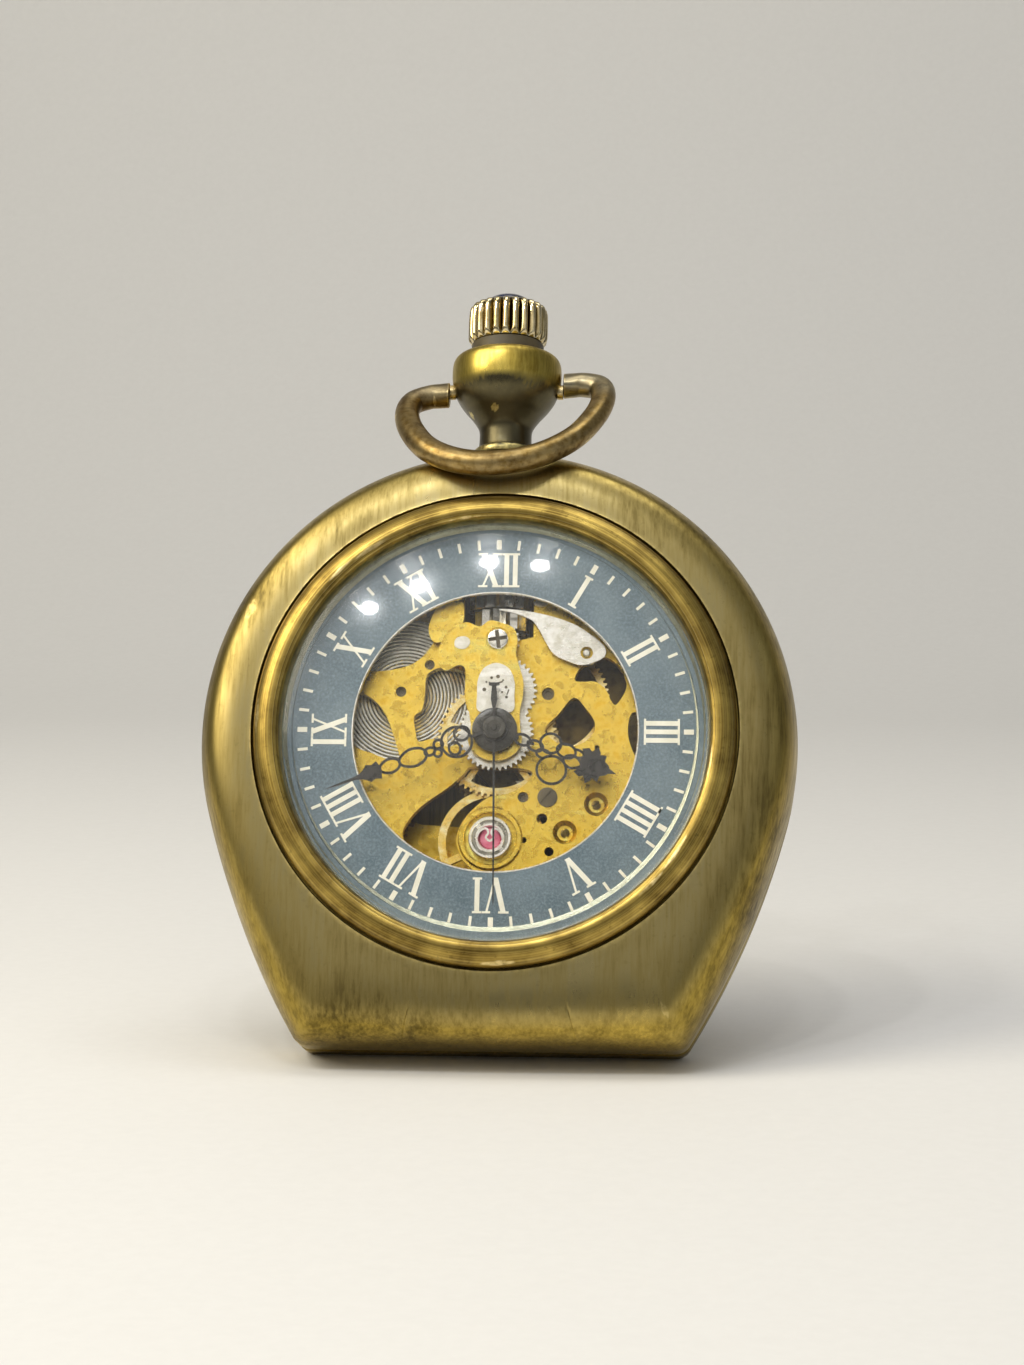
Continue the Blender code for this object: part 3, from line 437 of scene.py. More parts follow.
def add_bump(tree, surface, height, strength, distance):
    """Fine relief on a surface. The distance is in millimetres."""
    dent = tree.nodes.new("ShaderNodeBump")
    dent.inputs["Strength"].default_value = strength
    dent.inputs["Distance"].default_value = distance * MM
    tree.links.new(height, dent.inputs["Height"])
    tree.links.new(dent.outputs["Normal"], surface.inputs["Normal"])


PIT_SCALE, BREAKUP_SCALE = 2500.0, 1500.0
TARNISH_AND_SHADE = 0.3
HOLLOW_SHARE = 0.8


def metal(name, deep, bright, rough, grain=None, rings=None, patch=120.0, bump=0.25, depth=0.01, edge_wear_and_shade=None,
          zone=None, pits=0.3, streaks=0.35, shaded_flute_count=0, edge=0.8):
    """Aged metal. Grain gives the stretch of straight brushing, rings the centre and frequency of turning.

    A zone (axis, start, end, colour, amount) drifts to another colour along one axis, in millimetres.
    Shaded flute count is the number of grooves round an upright axis; each groove is darkened as painted
    shade.
    """
    made, tree, surface = plain_material(name, bright, rough[1], 1.0)
    age = place_group(tree, AGE, Patch_Scale=patch, Pit_Scale=PIT_SCALE)
    wear_and_shade = place_group(tree, WEAR_AND_SHADE, Breakup_Scale=BREAKUP_SCALE)
    if rings:
        lines = place_group(tree, RINGS, Centre=rings[0], Frequency=rings[1])
    else:
        lines = place_group(tree, GRAIN, Stretch=grain or (1500.0, 1500.0, 1500.0))
    tone = math_node(tree, "ADD", math_node(tree, "MULTIPLY", age.outputs["Patches"], 1.0 - streaks),
                     math_node(tree, "MULTIPLY", lines.outputs["Streak"], streaks))
    colour = mix_colour(tree, tone, deep, bright)
    if zone:
        axis, start, end, drift, amount = zone
        mask = spread(tree, split_place(tree)[axis], start * MM, end * MM, 0.0, amount)
        mask = math_node(tree, "MULTIPLY", mask, spread(tree, tone, 0.1, 0.8, 0.3, 1.0))
        colour = mix_colour(tree, mask, colour, drift)
    dark = tuple(channel * TARNISH_AND_SHADE for channel in deep)
    # Painted shade in the grooves between the crown's flutes.
    if shaded_flute_count:
        across, away, up = split_place(tree)
        angle = math_node(tree, "ARCTAN2", away, across)
        wave = math_node(tree, "COSINE", math_node(tree, "MULTIPLY", angle, float(shaded_flute_count)))
        colour = mix_colour(tree, spread(tree, wave, 0.1, -0.8, 0.0, 0.92), colour, dark)
    # Darker in hollows: partly tarnish, partly painted shade.
    colour = mix_colour(tree, math_node(tree, "MULTIPLY", wear_and_shade.outputs["Hollow"], HOLLOW_SHARE), colour,
                        dark)
    colour = mix_colour(tree, math_node(tree, "MULTIPLY", age.outputs["Pits"], pits), colour, dark)
    colour = mix_colour(tree, math_node(tree, "MULTIPLY", wear_and_shade.outputs["Edge"], edge), colour,
                        edge_wear_and_shade or bright)
    tree.links.new(colour, surface.inputs["Base Color"])
    tree.links.new(spread(tree, tone, 0.0, 1.0, rough[1], rough[0]), surface.inputs["Roughness"])
    add_bump(tree, surface, lines.outputs["Height"], bump, depth)
    return made


# %% The metals of this watch
CASE_TONES = ((0.10, 0.07, 0.014), (0.52, 0.375, 0.075), (0.26, 0.46))
CASE_BRUSHING = dict(grain=(3600.0, 3600.0, 300.0), bump=0.55, depth=0.014, pits=0.12, streaks=0.5)
CROWN_FLUTES = 24
# The case's zone drifts the front face to a greyer tone: a painted reflection of the pale surroundings.
brass_case = metal("antique_brass", *CASE_TONES, edge_wear_and_shade=(0.66, 0.52, 0.20),
                   zone=(1, -4.2, -5.4, (0.27, 0.235, 0.13), 0.85), **CASE_BRUSHING)
brass_back = metal("back_brass", *CASE_TONES, edge=0.0, **CASE_BRUSHING)
brass_bezel = metal("bezel_brass", (0.115, 0.072, 0.016), (0.54, 0.385, 0.095), (0.28, 0.44),
                    rings=(DIAL_CENTRE, 9000.0), patch=330.0, bump=0.15,
                    edge_wear_and_shade=(0.85, 0.68, 0.32))
brass_bow = metal("bow_brass", (0.075, 0.042, 0.012), (0.32, 0.205, 0.055), (0.28, 0.48),
                  grain=(900.0, 4200.0, 4200.0), patch=300.0, edge_wear_and_shade=(0.80, 0.64, 0.32),
                  zone=(2, DIAL_HEIGHT + 28.2, DIAL_HEIGHT + 29.0, (0.27, 0.25, 0.18), 0.9))
# The pendant's zone darkens its lower, narrowing part: painted shade.
brass_pendant = metal("pendant_brass", (0.22, 0.15, 0.02), (0.78, 0.60, 0.13), (0.24, 0.42),
                      grain=(4200.0, 4200.0, 700.0), patch=200.0, bump=0.6, depth=0.014,
                      edge_wear_and_shade=(0.80, 0.66, 0.26), pits=0.1, streaks=0.4,
                      zone=(2, DIAL_HEIGHT + 29.9, DIAL_HEIGHT + 28.6, (0.10, 0.086, 0.048), 2.5))
brass_crown = metal("polished_brass", (0.34, 0.24, 0.07), (0.84, 0.66, 0.32), (0.07, 0.18),
                    grain=(2500.0, 2500.0, 300.0), patch=500.0, bump=0.05, edge_wear_and_shade=(0.98, 0.88, 0.62),
                    shaded_flute_count=CROWN_FLUTES)
# On the gilt the edge colour is darker than the bright colour: a painted shade line along its bevelled
# edges.
gilt = metal("gilt_brass", (0.62, 0.38, 0.03), (1.0, 0.90, 0.26), (0.20, 0.42),
             patch=1500.0, bump=0.8, depth=0.03, edge_wear_and_shade=(0.66, 0.40, 0.03), pits=0.06)
gilt_wheel = metal("gilt_wheel", (0.72, 0.40, 0.03), (1.0, 0.72, 0.13), (0.16, 0.32),
                   grain=(4000.0, 4000.0, 4000.0), patch=600.0, bump=0.15, edge_wear_and_shade=(1.0, 0.9, 0.55))
steel = metal("grey_steel", (0.30, 0.29, 0.25), (0.66, 0.64, 0.58), (0.18, 0.34),
              grain=(3000.0, 3000.0, 900.0), patch=500.0, bump=0.1, edge_wear_and_shade=(0.85, 0.83, 0.78))
silver = metal("bright_silver", (0.54, 0.51, 0.42), (0.84, 0.81, 0.70), (0.20, 0.36),
               grain=(1500.0, 1500.0, 5000.0), patch=400.0, bump=0.07, edge_wear_and_shade=(0.98, 0.96, 0.92), pits=0.08)
# Dull brass for parts deep inside the movement, made dark as painted shade.
inner_brass_in_painted_shade = metal("inner_brass_in_painted_shade", (0.055, 0.04, 0.016), (0.22, 0.155, 0.05), (0.34, 0.5), patch=700.0,
                    bump=0.2)
blued = metal("blued_steel", (0.03, 0.05, 0.16), (0.08, 0.13, 0.34), (0.18, 0.3), patch=500.0, bump=0.05)
ring_steel = metal("spring_lid", (0.36, 0.35, 0.30), (0.82, 0.80, 0.72), (0.18, 0.34),
                   rings=((-7.4 * MM, 0.0, (DIAL_HEIGHT + 3.4) * MM), 5200.0), patch=300.0, bump=0.3)
rehaut = metal("ring_metal", (0.20, 0.21, 0.15), (0.42, 0.43, 0.33), (0.25, 0.4),
               rings=(DIAL_CENTRE, 6000.0), patch=300.0, bump=0.1)
print("metals made", len(bpy.data.materials))

# %% [markdown]
# ## Dial, hands, stones and crystal
# The dial is a thin brass ring with a satin lacquer, so it is not a metal: a blue-grey colour with
# slow mottling and a fine speckle. The hands are stamped from sheet and blackened. The crystal is a
# clear dome with hair-thin scratches. Light has to reach the dial through it, so for shadow rays the
# crystal is simply transparent, while the eye still sees a real refracting dome.

# %% Lacquer, enamel and print
def lacquer(name, first, second, rough, scale, speckle=0.0, coat=0.0):
    made, tree, surface = plain_material(name, first, rough)
    age = place_group(tree, AGE, Patch_Scale=scale, Pit_Scale=6000.0)
    colour = mix_colour(tree, age.outputs["Patches"], first, second)
    if speckle:
        grit = noise_node(tree, scaled_place(tree), 5200.0, 2.0, 0.6)
        light = tuple(min(channel * 1.5 + 0.03, 1.0) for channel in second)
        colour = mix_colour(tree, math_node(tree, "MULTIPLY", spread(tree, grit, 0.45, 0.75), speckle),
                            colour, light)
    tree.links.new(colour, surface.inputs["Base Color"])
    tree.links.new(spread(tree, age.outputs["Patches"], 0.0, 1.0, rough, rough + 0.12),
                   surface.inputs["Roughness"])
    surface.inputs["Coat Weight"].default_value = coat
    add_bump(tree, surface, noise_node(tree, scaled_place(tree), 4000.0), 0.12, 0.01)
    return made


slate = lacquer("slate_dial", (0.095, 0.142, 0.175), (0.155, 0.21, 0.245), 0.34, 260.0, speckle=0.6)
cream = lacquer("numeral_cream", (0.86, 0.84, 0.70), (0.96, 0.94, 0.82), 0.4, 900.0)
black = lacquer("black_enamel", (0.012, 0.011, 0.01), (0.035, 0.032, 0.028), 0.24, 1200.0)
hub_black = lacquer("hub_enamel", (0.03, 0.028, 0.022), (0.065, 0.06, 0.048), 0.22, 1200.0)
stone = lacquer("cabochon_stone", (0.004, 0.006, 0.02), (0.012, 0.018, 0.06), 0.05, 700.0, coat=0.8)
# Painted shade: a near-black for holes, slots and the crown's skirt, where there is only shade.
shadow_black = lacquer("painted_shade_black", (0.05, 0.04, 0.02), (0.11, 0.085, 0.04), 0.45, 500.0)


def make_ruby():
    made, tree, surface = plain_material("jewel_ruby", (0.86, 0.12, 0.24), 0.06)
    depth = noise_node(tree, scaled_place(tree), 1800.0, 2.0, 0.5)
    colour = mix_colour(tree, depth, (0.62, 0.03, 0.12), (1.0, 0.42, 0.55))
    tree.links.new(colour, surface.inputs["Base Color"])
    surface.inputs["Coat Weight"].default_value = 1.0
    return made


ruby = make_ruby()

# %% The scratched crystal
def make_scratch_group():
    """Hair-thin lines in several directions, where stretched noise crosses its middle value."""
    group, given, result = new_group(
        "hair_scratches",
        [("Scale", "NodeSocketFloat", 300.0), ("Width", "NodeSocketFloat", 0.012)],
        [("Lines", "NodeSocketFloat")],
    )
    total = None
    place = group.nodes.new("ShaderNodeTexCoord")
    for k, degrees in enumerate((12.0, 63.0, 118.0, 155.0)):
        turn = group.nodes.new("ShaderNodeMapping")
        turn.inputs["Rotation"].default_value = (0.0, math.radians(degrees), 0.0)
        turn.inputs["Scale"].default_value = (1.0, 1.0, 0.09)
        turn.inputs["Location"].default_value = (0.13 * k, 0.0, 0.29 * k)
        group.links.new(place.outputs["Object"], turn.inputs["Vector"])
        wave = noise_node(group, turn.outputs["Vector"], given.outputs["Scale"], 1.0, 0.4)
        away = math_node(group, "ABSOLUTE", math_node(group, "SUBTRACT", wave, 0.5))
        line = math_node(group, "LESS_THAN", away, given.outputs["Width"])
        sparse = noise_node(group, turn.outputs["Vector"], 170.0, 1.0, 0.5)
        line = math_node(group, "MULTIPLY", line, math_node(group, "GREATER_THAN", sparse, 0.57))
        total = line if total is None else math_node(group, "MAXIMUM", total, line)
    group.links.new(total, result.inputs["Lines"])
    return group


SCRATCHES = make_scratch_group()


def make_crystal_material():
    made, tree, surface = plain_material("clear_crystal", (1.0, 1.0, 1.0), 0.0)
    surface.inputs["Transmission Weight"].default_value = 1.0
    surface.inputs["IOR"].default_value = 1.2
    surface.inputs["Coat Weight"].default_value = 0.4
    surface.inputs["Coat Roughness"].default_value = 0.13
    scratches = place_group(tree, SCRATCHES, Scale=380.0, Width=0.0018)
    tree.links.new(spread(tree, scratches.outputs["Lines"], 0.0, 1.0, 0.0, 0.24),
                   surface.inputs["Roughness"])
    clear = tree.nodes.new("ShaderNodeBsdfTransparent")
    clear.inputs["Color"].default_value = (0.97, 0.97, 0.97, 1.0)
    path = tree.nodes.new("ShaderNodeLightPath")
    either = tree.nodes.new("ShaderNodeMixShader")
    through = math_node(tree, "MAXIMUM", path.outputs["Is Shadow Ray"], path.outputs["Is Diffuse Ray"])
    tree.links.new(through, either.inputs[0])
    tree.links.new(surface.outputs[0], either.inputs[1])
    tree.links.new(clear.outputs[0], either.inputs[2])
    tree.links.new(either.outputs[0], tree.nodes["Material Output"].inputs["Surface"])
    return made


crystal_clear = make_crystal_material()
print("materials", len(bpy.data.materials))

# %% [markdown]
# ## The case
# The case is a circle with a flat foot, so that it can stand. Its front shoulder is one soft roll from
# the bezel out to the rim. The skin is lofted between the round bezel seat and the outline: a loop at
# each share of the way out, sunk by the shoulder's curve. Real cases are pressed in exactly such steps.

# %% The outline and its loops
CASE_RADIUS = 23.7
BEZEL_SEAT_RADIUS = 19.0
MOVEMENT_BORE = 17.5
FRONT_Y = -5.35
SEAM_Y = 1.4
BACK_Y = 6.8
FLANK_RADIUS, FLANK_START, FLANK_END = 68.0, 15.0, 31.2
SEAM_X = 6.8


def case_outline():
    arc = [polar(CASE_RADIUS, 90.0 - (90.0 + FLANK_START) * k / 84) for k in range(85)]
    flank_centre = polar(FLANK_RADIUS, 180.0 - FLANK_START, arc[-1])
    run = FLANK_END - FLANK_START
    flank = [polar(FLANK_RADIUS, -FLANK_START - run * k / 20, flank_centre) for k in range(1, 21)]
    drop = DIAL_HEIGHT + flank[-1][1]
    corner_radius = drop / (1.0 - math.sin(math.radians(FLANK_END)))
    corner_centre = polar(corner_radius, 180.0 - FLANK_END, flank[-1])
    corner = [polar(corner_radius, -FLANK_END - (90.0 - FLANK_END) * k / 9, corner_centre)
              for k in range(1, 10)]
    reach = corner[-1][0]
    base = [(x, -DIAL_HEIGHT) for x in (0.92 * reach, 0.82 * reach, 0.7 * reach, 0.6 * reach)]
    base += [(SEAM_X + shift, -DIAL_HEIGHT) for shift in (0.3, 0.09, 0.0, -0.09, -0.3, -1.6, -3.4, -5.2)]
    right = arc + flank + corner + base
    left = [(-x, z) for x, z in reversed(right[1:])]
    return right + [(0.0, -DIAL_HEIGHT)] + left


CASE_OUTLINE = case_outline()


def case_loop(share, depth_of):
    loop = []
    for x, z in CASE_OUTLINE:
        reach = math.hypot(x, z)
        radius = BEZEL_SEAT_RADIUS + (reach - BEZEL_SEAT_RADIUS) * share
        loop.append((x / reach * radius, depth_of(x, z), z / reach * radius))
    return loop


def round_loop(radius, depth):
    return [(x / math.hypot(x, z) * radius, depth, z / math.hypot(x, z) * radius) for x, z in CASE_OUTLINE]


def shoulder_depth(z):
    share = min(max((-12.0 - z) / 11.0, 0.0), 1.0)
    share = share * share * (3.0 - 2.0 * share)
    return 5.6 - 1.4 * share


def foot_joint(x, z, share):
    """Two faint joints show where the flat foot was let into the band."""
    at_joint = abs(abs(x) - SEAM_X) < 0.02 and z < -DIAL_HEIGHT + 0.01
    return 0.06 if at_joint and share > 0.55 else 0.0


# %% The case front
SHOULDER = ((0.0, 0.0), (0.35, 0.03), (0.62, 0.1), (0.77, 0.21), (0.9, 0.44), (0.97, 0.72), (1.0, 1.0))
STEM_BORE = 0.75
shoulder = smooth_path(SHOULDER, 5)[1:]
loops = [
    round_loop(MOVEMENT_BORE, SEAM_Y), round_loop(MOVEMENT_BORE, -3.78), round_loop(17.08, -3.78),
    round_loop(17.08, -4.5), round_loop(BEZEL_SEAT_RADIUS - 0.02, -4.5),
    round_loop(BEZEL_SEAT_RADIUS, FRONT_Y + 0.12), round_loop(BEZEL_SEAT_RADIUS + 0.08, FRONT_Y),
]
for share, sink in shoulder:
    loops.append(case_loop(min(share, 1.0), lambda x, z, share=share, sink=sink: (
        FRONT_Y + min(sink, 1.0) * shoulder_depth(z) + foot_joint(x, z, share))))
loops.append(case_loop(1.0, lambda x, z: SEAM_Y - 0.14))
loops.append(case_loop(0.985, lambda x, z: SEAM_Y))
bore = turned([(0.0, 15.0), (STEM_BORE, 15.0), (STEM_BORE, 26.0), (0.0, 26.0)], 24, along="Z")
make_piece("case_front_shell", [loft(loops)], brass_case, "case", stands_for=("case_front",), smooth=50.0,
           cuts=[bore])
print("case front loops", len(loops), "of", len(loops[0]), "points")

# %% The case back
RIM_Y = SEAM_Y + 0.04
BACK_EDGE_Y = 4.2
loops = [round_loop(MOVEMENT_BORE, 3.9), round_loop(MOVEMENT_BORE, RIM_Y),
         case_loop(0.985, lambda x, z: RIM_Y), case_loop(1.0, lambda x, z: RIM_Y + 0.14)]
for k in range(13):
    turn = math.radians(7.5 * k)
    depth = BACK_EDGE_Y + math.sin(turn) * (BACK_Y - BACK_EDGE_Y)
    loops.append(case_loop(math.cos(turn), lambda x, z, depth=depth: depth))
for radius, rise in ((18.2, 0.02), (17.9, -0.1), (17.6, -0.1), (17.3, 0.04), (14.0, 0.13), (10.0, 0.2),
                     (5.0, 0.24)):
    loops.append(round_loop(radius, BACK_Y + rise))
make_piece("case_back_shell", [loft(loops, capped=True)], brass_back, "case", stands_for=("case_back",),
           smooth=50.0)
print("case back loops", len(loops))

# %% [markdown]
# The bezel is a turned ring that snaps over the front and holds the crystal. A smooth roll, a fine
# step and a bright inner lip are enough to read as turned work. Just inside it sits the plain ring
# that hides the edge of the dial.

# %% Bezel, dial surround and crystal
roll = smooth_path([(18.82, -4.9), (18.86, -5.4), (18.62, -5.93), (18.05, -6.3), (17.55, -6.42),
                    (17.22, -6.36)], 6)
inner = smooth_path([(17.16, -6.28), (16.98, -6.18), (16.82, -5.9), (16.76, -5.5)], 4)
bezel = [(16.72, -4.56), (18.8, -4.56), *roll, (17.2, -6.3), *inner]
make_piece("bezel_ring", [turned(bezel, 160)], brass_bezel, "case", stands_for=("bezel",), smooth=28.0)
surround = [(16.22, -4.26), (16.68, -4.26), (16.68, -4.53), (16.5, -4.53)]
make_piece("dial_surround", [turned(surround, 128)], rehaut, "case", smooth=30.0)
outer = [(16.62, -5.35), (16.58, -5.6), (16.45, -5.78)]
outer += [(16.2 * (1.0 - k / 24), -5.85 - 2.05 * (1.0 - (1.0 - k / 24) ** 2)) for k in range(25)]
hollow = [(15.7 * k / 24, -5.45 - 1.65 * (1.0 - (k / 24) ** 2)) for k in range(25)]
make_piece("crystal_dome", [turned([(16.65, -4.58), *outer, *hollow, (15.9, -4.58)], 128)], crystal_clear,
           "case", stands_for=("crystal",), smooth=30.0)

# %% [markdown]
# The pendant is the turned cup between case and crown. It carries the bow's two pins and guides the
# stem. The bow is one bent wire with squared ends; the crown is a fluted knob with a stone in its top.

# %% Pendant
neck = smooth_path([(2.16, 24.62), (2.12, 25.2), (2.14, 25.9), (2.32, 26.4), (2.8, 27.1), (3.4, 27.8),
                    (3.95, 28.6), (4.28, 29.4), (4.44, 30.2), (4.47, 30.9), (4.43, 31.5), (4.3, 31.9),
                    (4.06, 32.15), (3.8, 32.24)], 5)
profile = [(0.95, 23.75), (2.5, 23.75), (2.56, 23.95), (2.52, 24.25), (2.36, 24.4), (2.2, 24.46), *neck,
           (3.6, 32.26), (2.7, 32.26), (2.6, 32.16), (2.4, 31.9), (0.95, 31.8)]
make_piece("pendant_cup", [turned(profile, 96, along="Z")], brass_pendant, "case",
           stands_for=("pendant",), smooth=40.0)
heights = [height for _, height in profile]
print("pendant height mm", round(max(heights) - min(heights), 2))

# %% Crown and its stone
CROWN_FOOT = 33.4
CROWN_STEPS = 10 * CROWN_FLUTES
turns = [math.tau * k / CROWN_STEPS for k in range(CROWN_STEPS)]
rows = ((2.3, 0.0, 0.0), (2.94, 0.1, 0.0), (3.06, 0.22, 0.1), (3.18, 0.36, 0.28), (3.25, 0.62, 0.42),
        (3.26, 1.2, 0.45), (3.26, 2.0, 0.45), (3.24, 2.7, 0.43), (3.16, 3.05, 0.38), (2.98, 3.28, 0.27),
        (2.62, 3.4, 0.1), (2.3, 3.48, 0.02), (2.05, 3.5, 0.0))
loops = []
for radius, rise, groove in rows:
    loop = []
    for turn in turns:
        lobe = abs(math.cos(0.5 * CROWN_FLUTES * turn)) ** 0.8
        reach = radius - groove * (1.0 - lobe)
        loop.append((reach * math.cos(turn), reach * math.sin(turn), CROWN_FOOT + rise))
    loops.append(loop)
loops.append([(1.92 * math.cos(turn), 1.92 * math.sin(turn), 36.82) for turn in turns])
make_piece("crown_knob", [loft(loops, capped=True)], brass_crown, "crown_and_stem", stands_for=("crown",),
           smooth=50.0)
# The skirt under the crown is painted shade black.
skirt = [(0.9, 32.42), (2.86, 32.42), (2.94, 32.5), (2.96, 33.34), (2.9, 33.42), (0.9, 33.42)]
make_piece("crown_skirt", [turned(skirt, 72, along="Z")], shadow_black, "crown_and_stem", smooth=30.0)
dome = [(1.86 * math.cos(math.radians(t)), 36.93 + 0.87 * math.sin(math.radians(t)))
        for t in range(0, 90, 9)]
make_piece("crown_stone", [turned([(0.0, 36.84), (1.86, 36.84), *dome, (0.0, 37.8)], 64, along="Z")],
           stone, "crown_and_stem", stands_for=("crown_cabochon",), smooth=40.0)

# %% Bow
BOW_PIVOT = 29.4
BOW_HANG = math.radians(39.0)
BOW_SAG, BOW_LIFT = 0.084, 0.15


def bow_place(x, s, off):
    """The bow is drawn flat, then hung forward about its pins. It has been bent a little out of true."""
    forward = -s * math.sin(BOW_HANG) - off * math.cos(BOW_HANG)
    up = -s * math.cos(BOW_HANG) + off * math.sin(BOW_HANG)
    return (x, forward, BOW_PIVOT + up + BOW_SAG * x + BOW_LIFT)


half = [(4.66, 0.0), (5.4, 0.0), (6.35, 0.06), (7.65, 0.8), (7.95, 2.6), (7.3, 5.2), (5.7, 8.1),
        (3.1, 10.1)]
path = smooth_path(half + [(0.0, 10.75)] + [(-x, s) for x, s in reversed(half)], 8)
loops = []
for k, (x, s) in enumerate(path):
    run = heading(path[max(k - 1, 0)], path[min(k + 1, len(path) - 1)])
    end = min(k, len(path) - 1 - k)
    square = max(0.0, 1.0 - end / 14.0)
    loop = []
    for j in range(28):
        turn = math.tau * j / 28
        cos, sin = math.cos(turn), math.sin(turn)
        boxy = max(abs(cos), abs(sin)) ** -0.55
        reach = (1.0 - 0.1 * square) * (1.0 + square * (boxy - 1.0))
        if end < 1:
            reach *= 0.92
        loop.append(bow_place(x + run.y * reach * cos, s - run.x * reach * cos, reach * sin))
    loops.append(loop)
make_piece("bow_wire", [loft(loops, capped=True)], brass_bow, "bow_loop", stands_for=("bow",), smooth=45.0)
for side, name, node in ((-1.0, "bow_collar_left", "bow_pin_left"),
                         (1.0, "bow_collar_right", "bow_pin_right")):
    ring = [(0.0, 4.15), (0.56, 4.15), (0.6, 4.3), (0.6, 4.62), (0.0, 4.64)]
    points, faces = turned(ring, 40, along="Z")
    points = [(side * z, x, y + BOW_PIVOT) for x, y, z in points]
    make_piece(name, [(points, faces)], brass_bow, "case", stands_for=(node,), smooth=30.0)
print("bow loops", len(loops))

# %% [markdown]
# ## The dial
# The dial is an open ring. Its numerals are printed, so they stand a few hundredths of a millimetre
# proud. Each is drawn from strokes: a I is a stem, neighbouring stems share one serif, a V has one
# thick and one thin stroke. Their feet point to the centre.

# %% Dial ring
DIAL_INNER, DIAL_OUTER, DIAL_FRONT, DIAL_BACK = 11.1, 17.0, -4.2, -3.8
profile = [(DIAL_INNER + 0.14, DIAL_FRONT), (DIAL_OUTER, DIAL_FRONT), (DIAL_OUTER, DIAL_BACK),
           (DIAL_INNER + 0.14, DIAL_BACK)]
make_piece("dial_plate", [turned(profile, 160)], slate, "case", stands_for=("dial_ring",), smooth=30.0)
edge = [(DIAL_INNER, -4.16), (DIAL_INNER + 0.05, -4.22), (DIAL_INNER + 0.13, -4.22),
        (DIAL_INNER + 0.13, -3.82), (DIAL_INNER, -3.82)]
make_piece("dial_inner_edge", [turned(edge, 160)], silver, "case", smooth=30.0)

# %% Strokes of the numerals
STEM, PITCH, SERIF, LETTER_HEIGHT, FEET = 0.38, 0.68, 0.17, 2.8, 11.6


def slab(u0, v0, u1, v1):
    return [(u0, v0), (u1, v0), (u1, v1), (u0, v1)]


def centred_slab(half_wide, half_high):
    return slab(-half_wide, -half_high, half_wide, half_high)


def leaning(foot, head, wide):
    return [(foot - wide / 2, 0.0), (foot + wide / 2, 0.0), (head + wide / 2, LETTER_HEIGHT),
            (head - wide / 2, LETTER_HEIGHT)]


def stems(count, start):
    """Stems under one pair of serifs. The width used is the second result."""
    width = STEM + PITCH * (count - 1)
    made = [slab(start + PITCH * k, 0.0, start + PITCH * k + STEM, LETTER_HEIGHT) for k in range(count)]
    for foot in (0.0, LETTER_HEIGHT - SERIF):
        made.append(slab(start - 0.17, foot, start + width + 0.17, foot + SERIF))
    return made, width


def letter_v(start):
    made = [leaning(start + 0.95, start + 0.28, 0.42), leaning(start + 0.98, start + 1.62, 0.17)]
    made.append(slab(start - 0.12, LETTER_HEIGHT - SERIF, start + 0.68, LETTER_HEIGHT))
    made.append(slab(start + 1.3, LETTER_HEIGHT - SERIF, start + 1.95, LETTER_HEIGHT))
    return made, 1.85


def letter_x(start):
    made = [leaning(start + 1.35, start + 0.3, 0.42), leaning(start + 0.25, start + 1.4, 0.17)]
    for foot in (0.0, LETTER_HEIGHT - SERIF):
        made.append(slab(start - 0.1, foot, start + 0.65, foot + SERIF))
        made.append(slab(start + 1.02, foot, start + 1.75, foot + SERIF))
    return made, 1.65


HOURS = ("XII", "I", "II", "III", "IIII", "V", "VI", "VII", "VIII", "IX", "X", "XI")


def numeral(text):
    """Strokes of one numeral, centred on its own middle."""
    made, at = [], 0.0
    rest = text
    while rest:
        if rest[0] == "I":
            count = len(rest) - len(rest.lstrip("I"))
            strokes, width = stems(count, at)
            rest = rest[count:]
        else:
            strokes, width = letter_v(at) if rest[0] == "V" else letter_x(at)
            rest = rest[1:]
        made += strokes
        at += width + 0.3
    middle = 0.5 * (at - 0.3)
    return [[(u - middle, v) for u, v in stroke] for stroke in made]


def on_dial(stroke, clock, foot):
    turn = math.radians(clock)
    out, along = (math.sin(turn), math.cos(turn)), (math.cos(turn), -math.sin(turn))
    return [(out[0] * (foot + v) + along[0] * u, out[1] * (foot + v) + along[1] * u) for u, v in stroke]


def many_prisms(outlines, fronts, back):
    """Several flat shapes as one set of points and faces. Each has its own front depth."""
    points, faces = [], []
    for outline, front in zip(outlines, fronts):
        more, sides = prism(outline, front, back)
        faces += [tuple(index + len(points) for index in face) for face in sides]
        points += more
    return points, faces


# %% Print the numerals and the minute track
PRINT = 0.03
PRINT_BACK = DIAL_FRONT - 0.002
TRACK_RADIUS = 15.1
marks, fronts = [], []
for hour, text in enumerate(HOURS):
    for k, stroke in enumerate(numeral(text)):
        marks.append(on_dial(stroke, 30.0 * hour, FEET))
        fronts.append(DIAL_FRONT - PRINT - 0.001 * (k % 5))
make_piece("dial_numerals", [many_prisms(marks, fronts, PRINT_BACK)], cream, "case")
ticks = []
for minute in range(60):
    wide, long = (0.4, 0.78) if minute % 5 == 0 else (0.23, 0.8)
    ticks.append(on_dial(centred_slab(wide / 2, long / 2), 6.0 * minute, TRACK_RADIUS))
make_piece("dial_track", [many_prisms(ticks, [DIAL_FRONT - PRINT] * len(ticks), PRINT_BACK)], cream, "case")
print("strokes", len(marks), "ticks", len(ticks))

# %% [markdown]
# ## The main plate
# The skeleton plate is sawn from thick brass sheet and gilded. Everything else is fixed to it. Its
# windows leave narrow arms, such as the one over the mainspring barrel. The windows are drawn as
# smooth loops, cut as holes in one flat prism, and the edges get a small bevel.

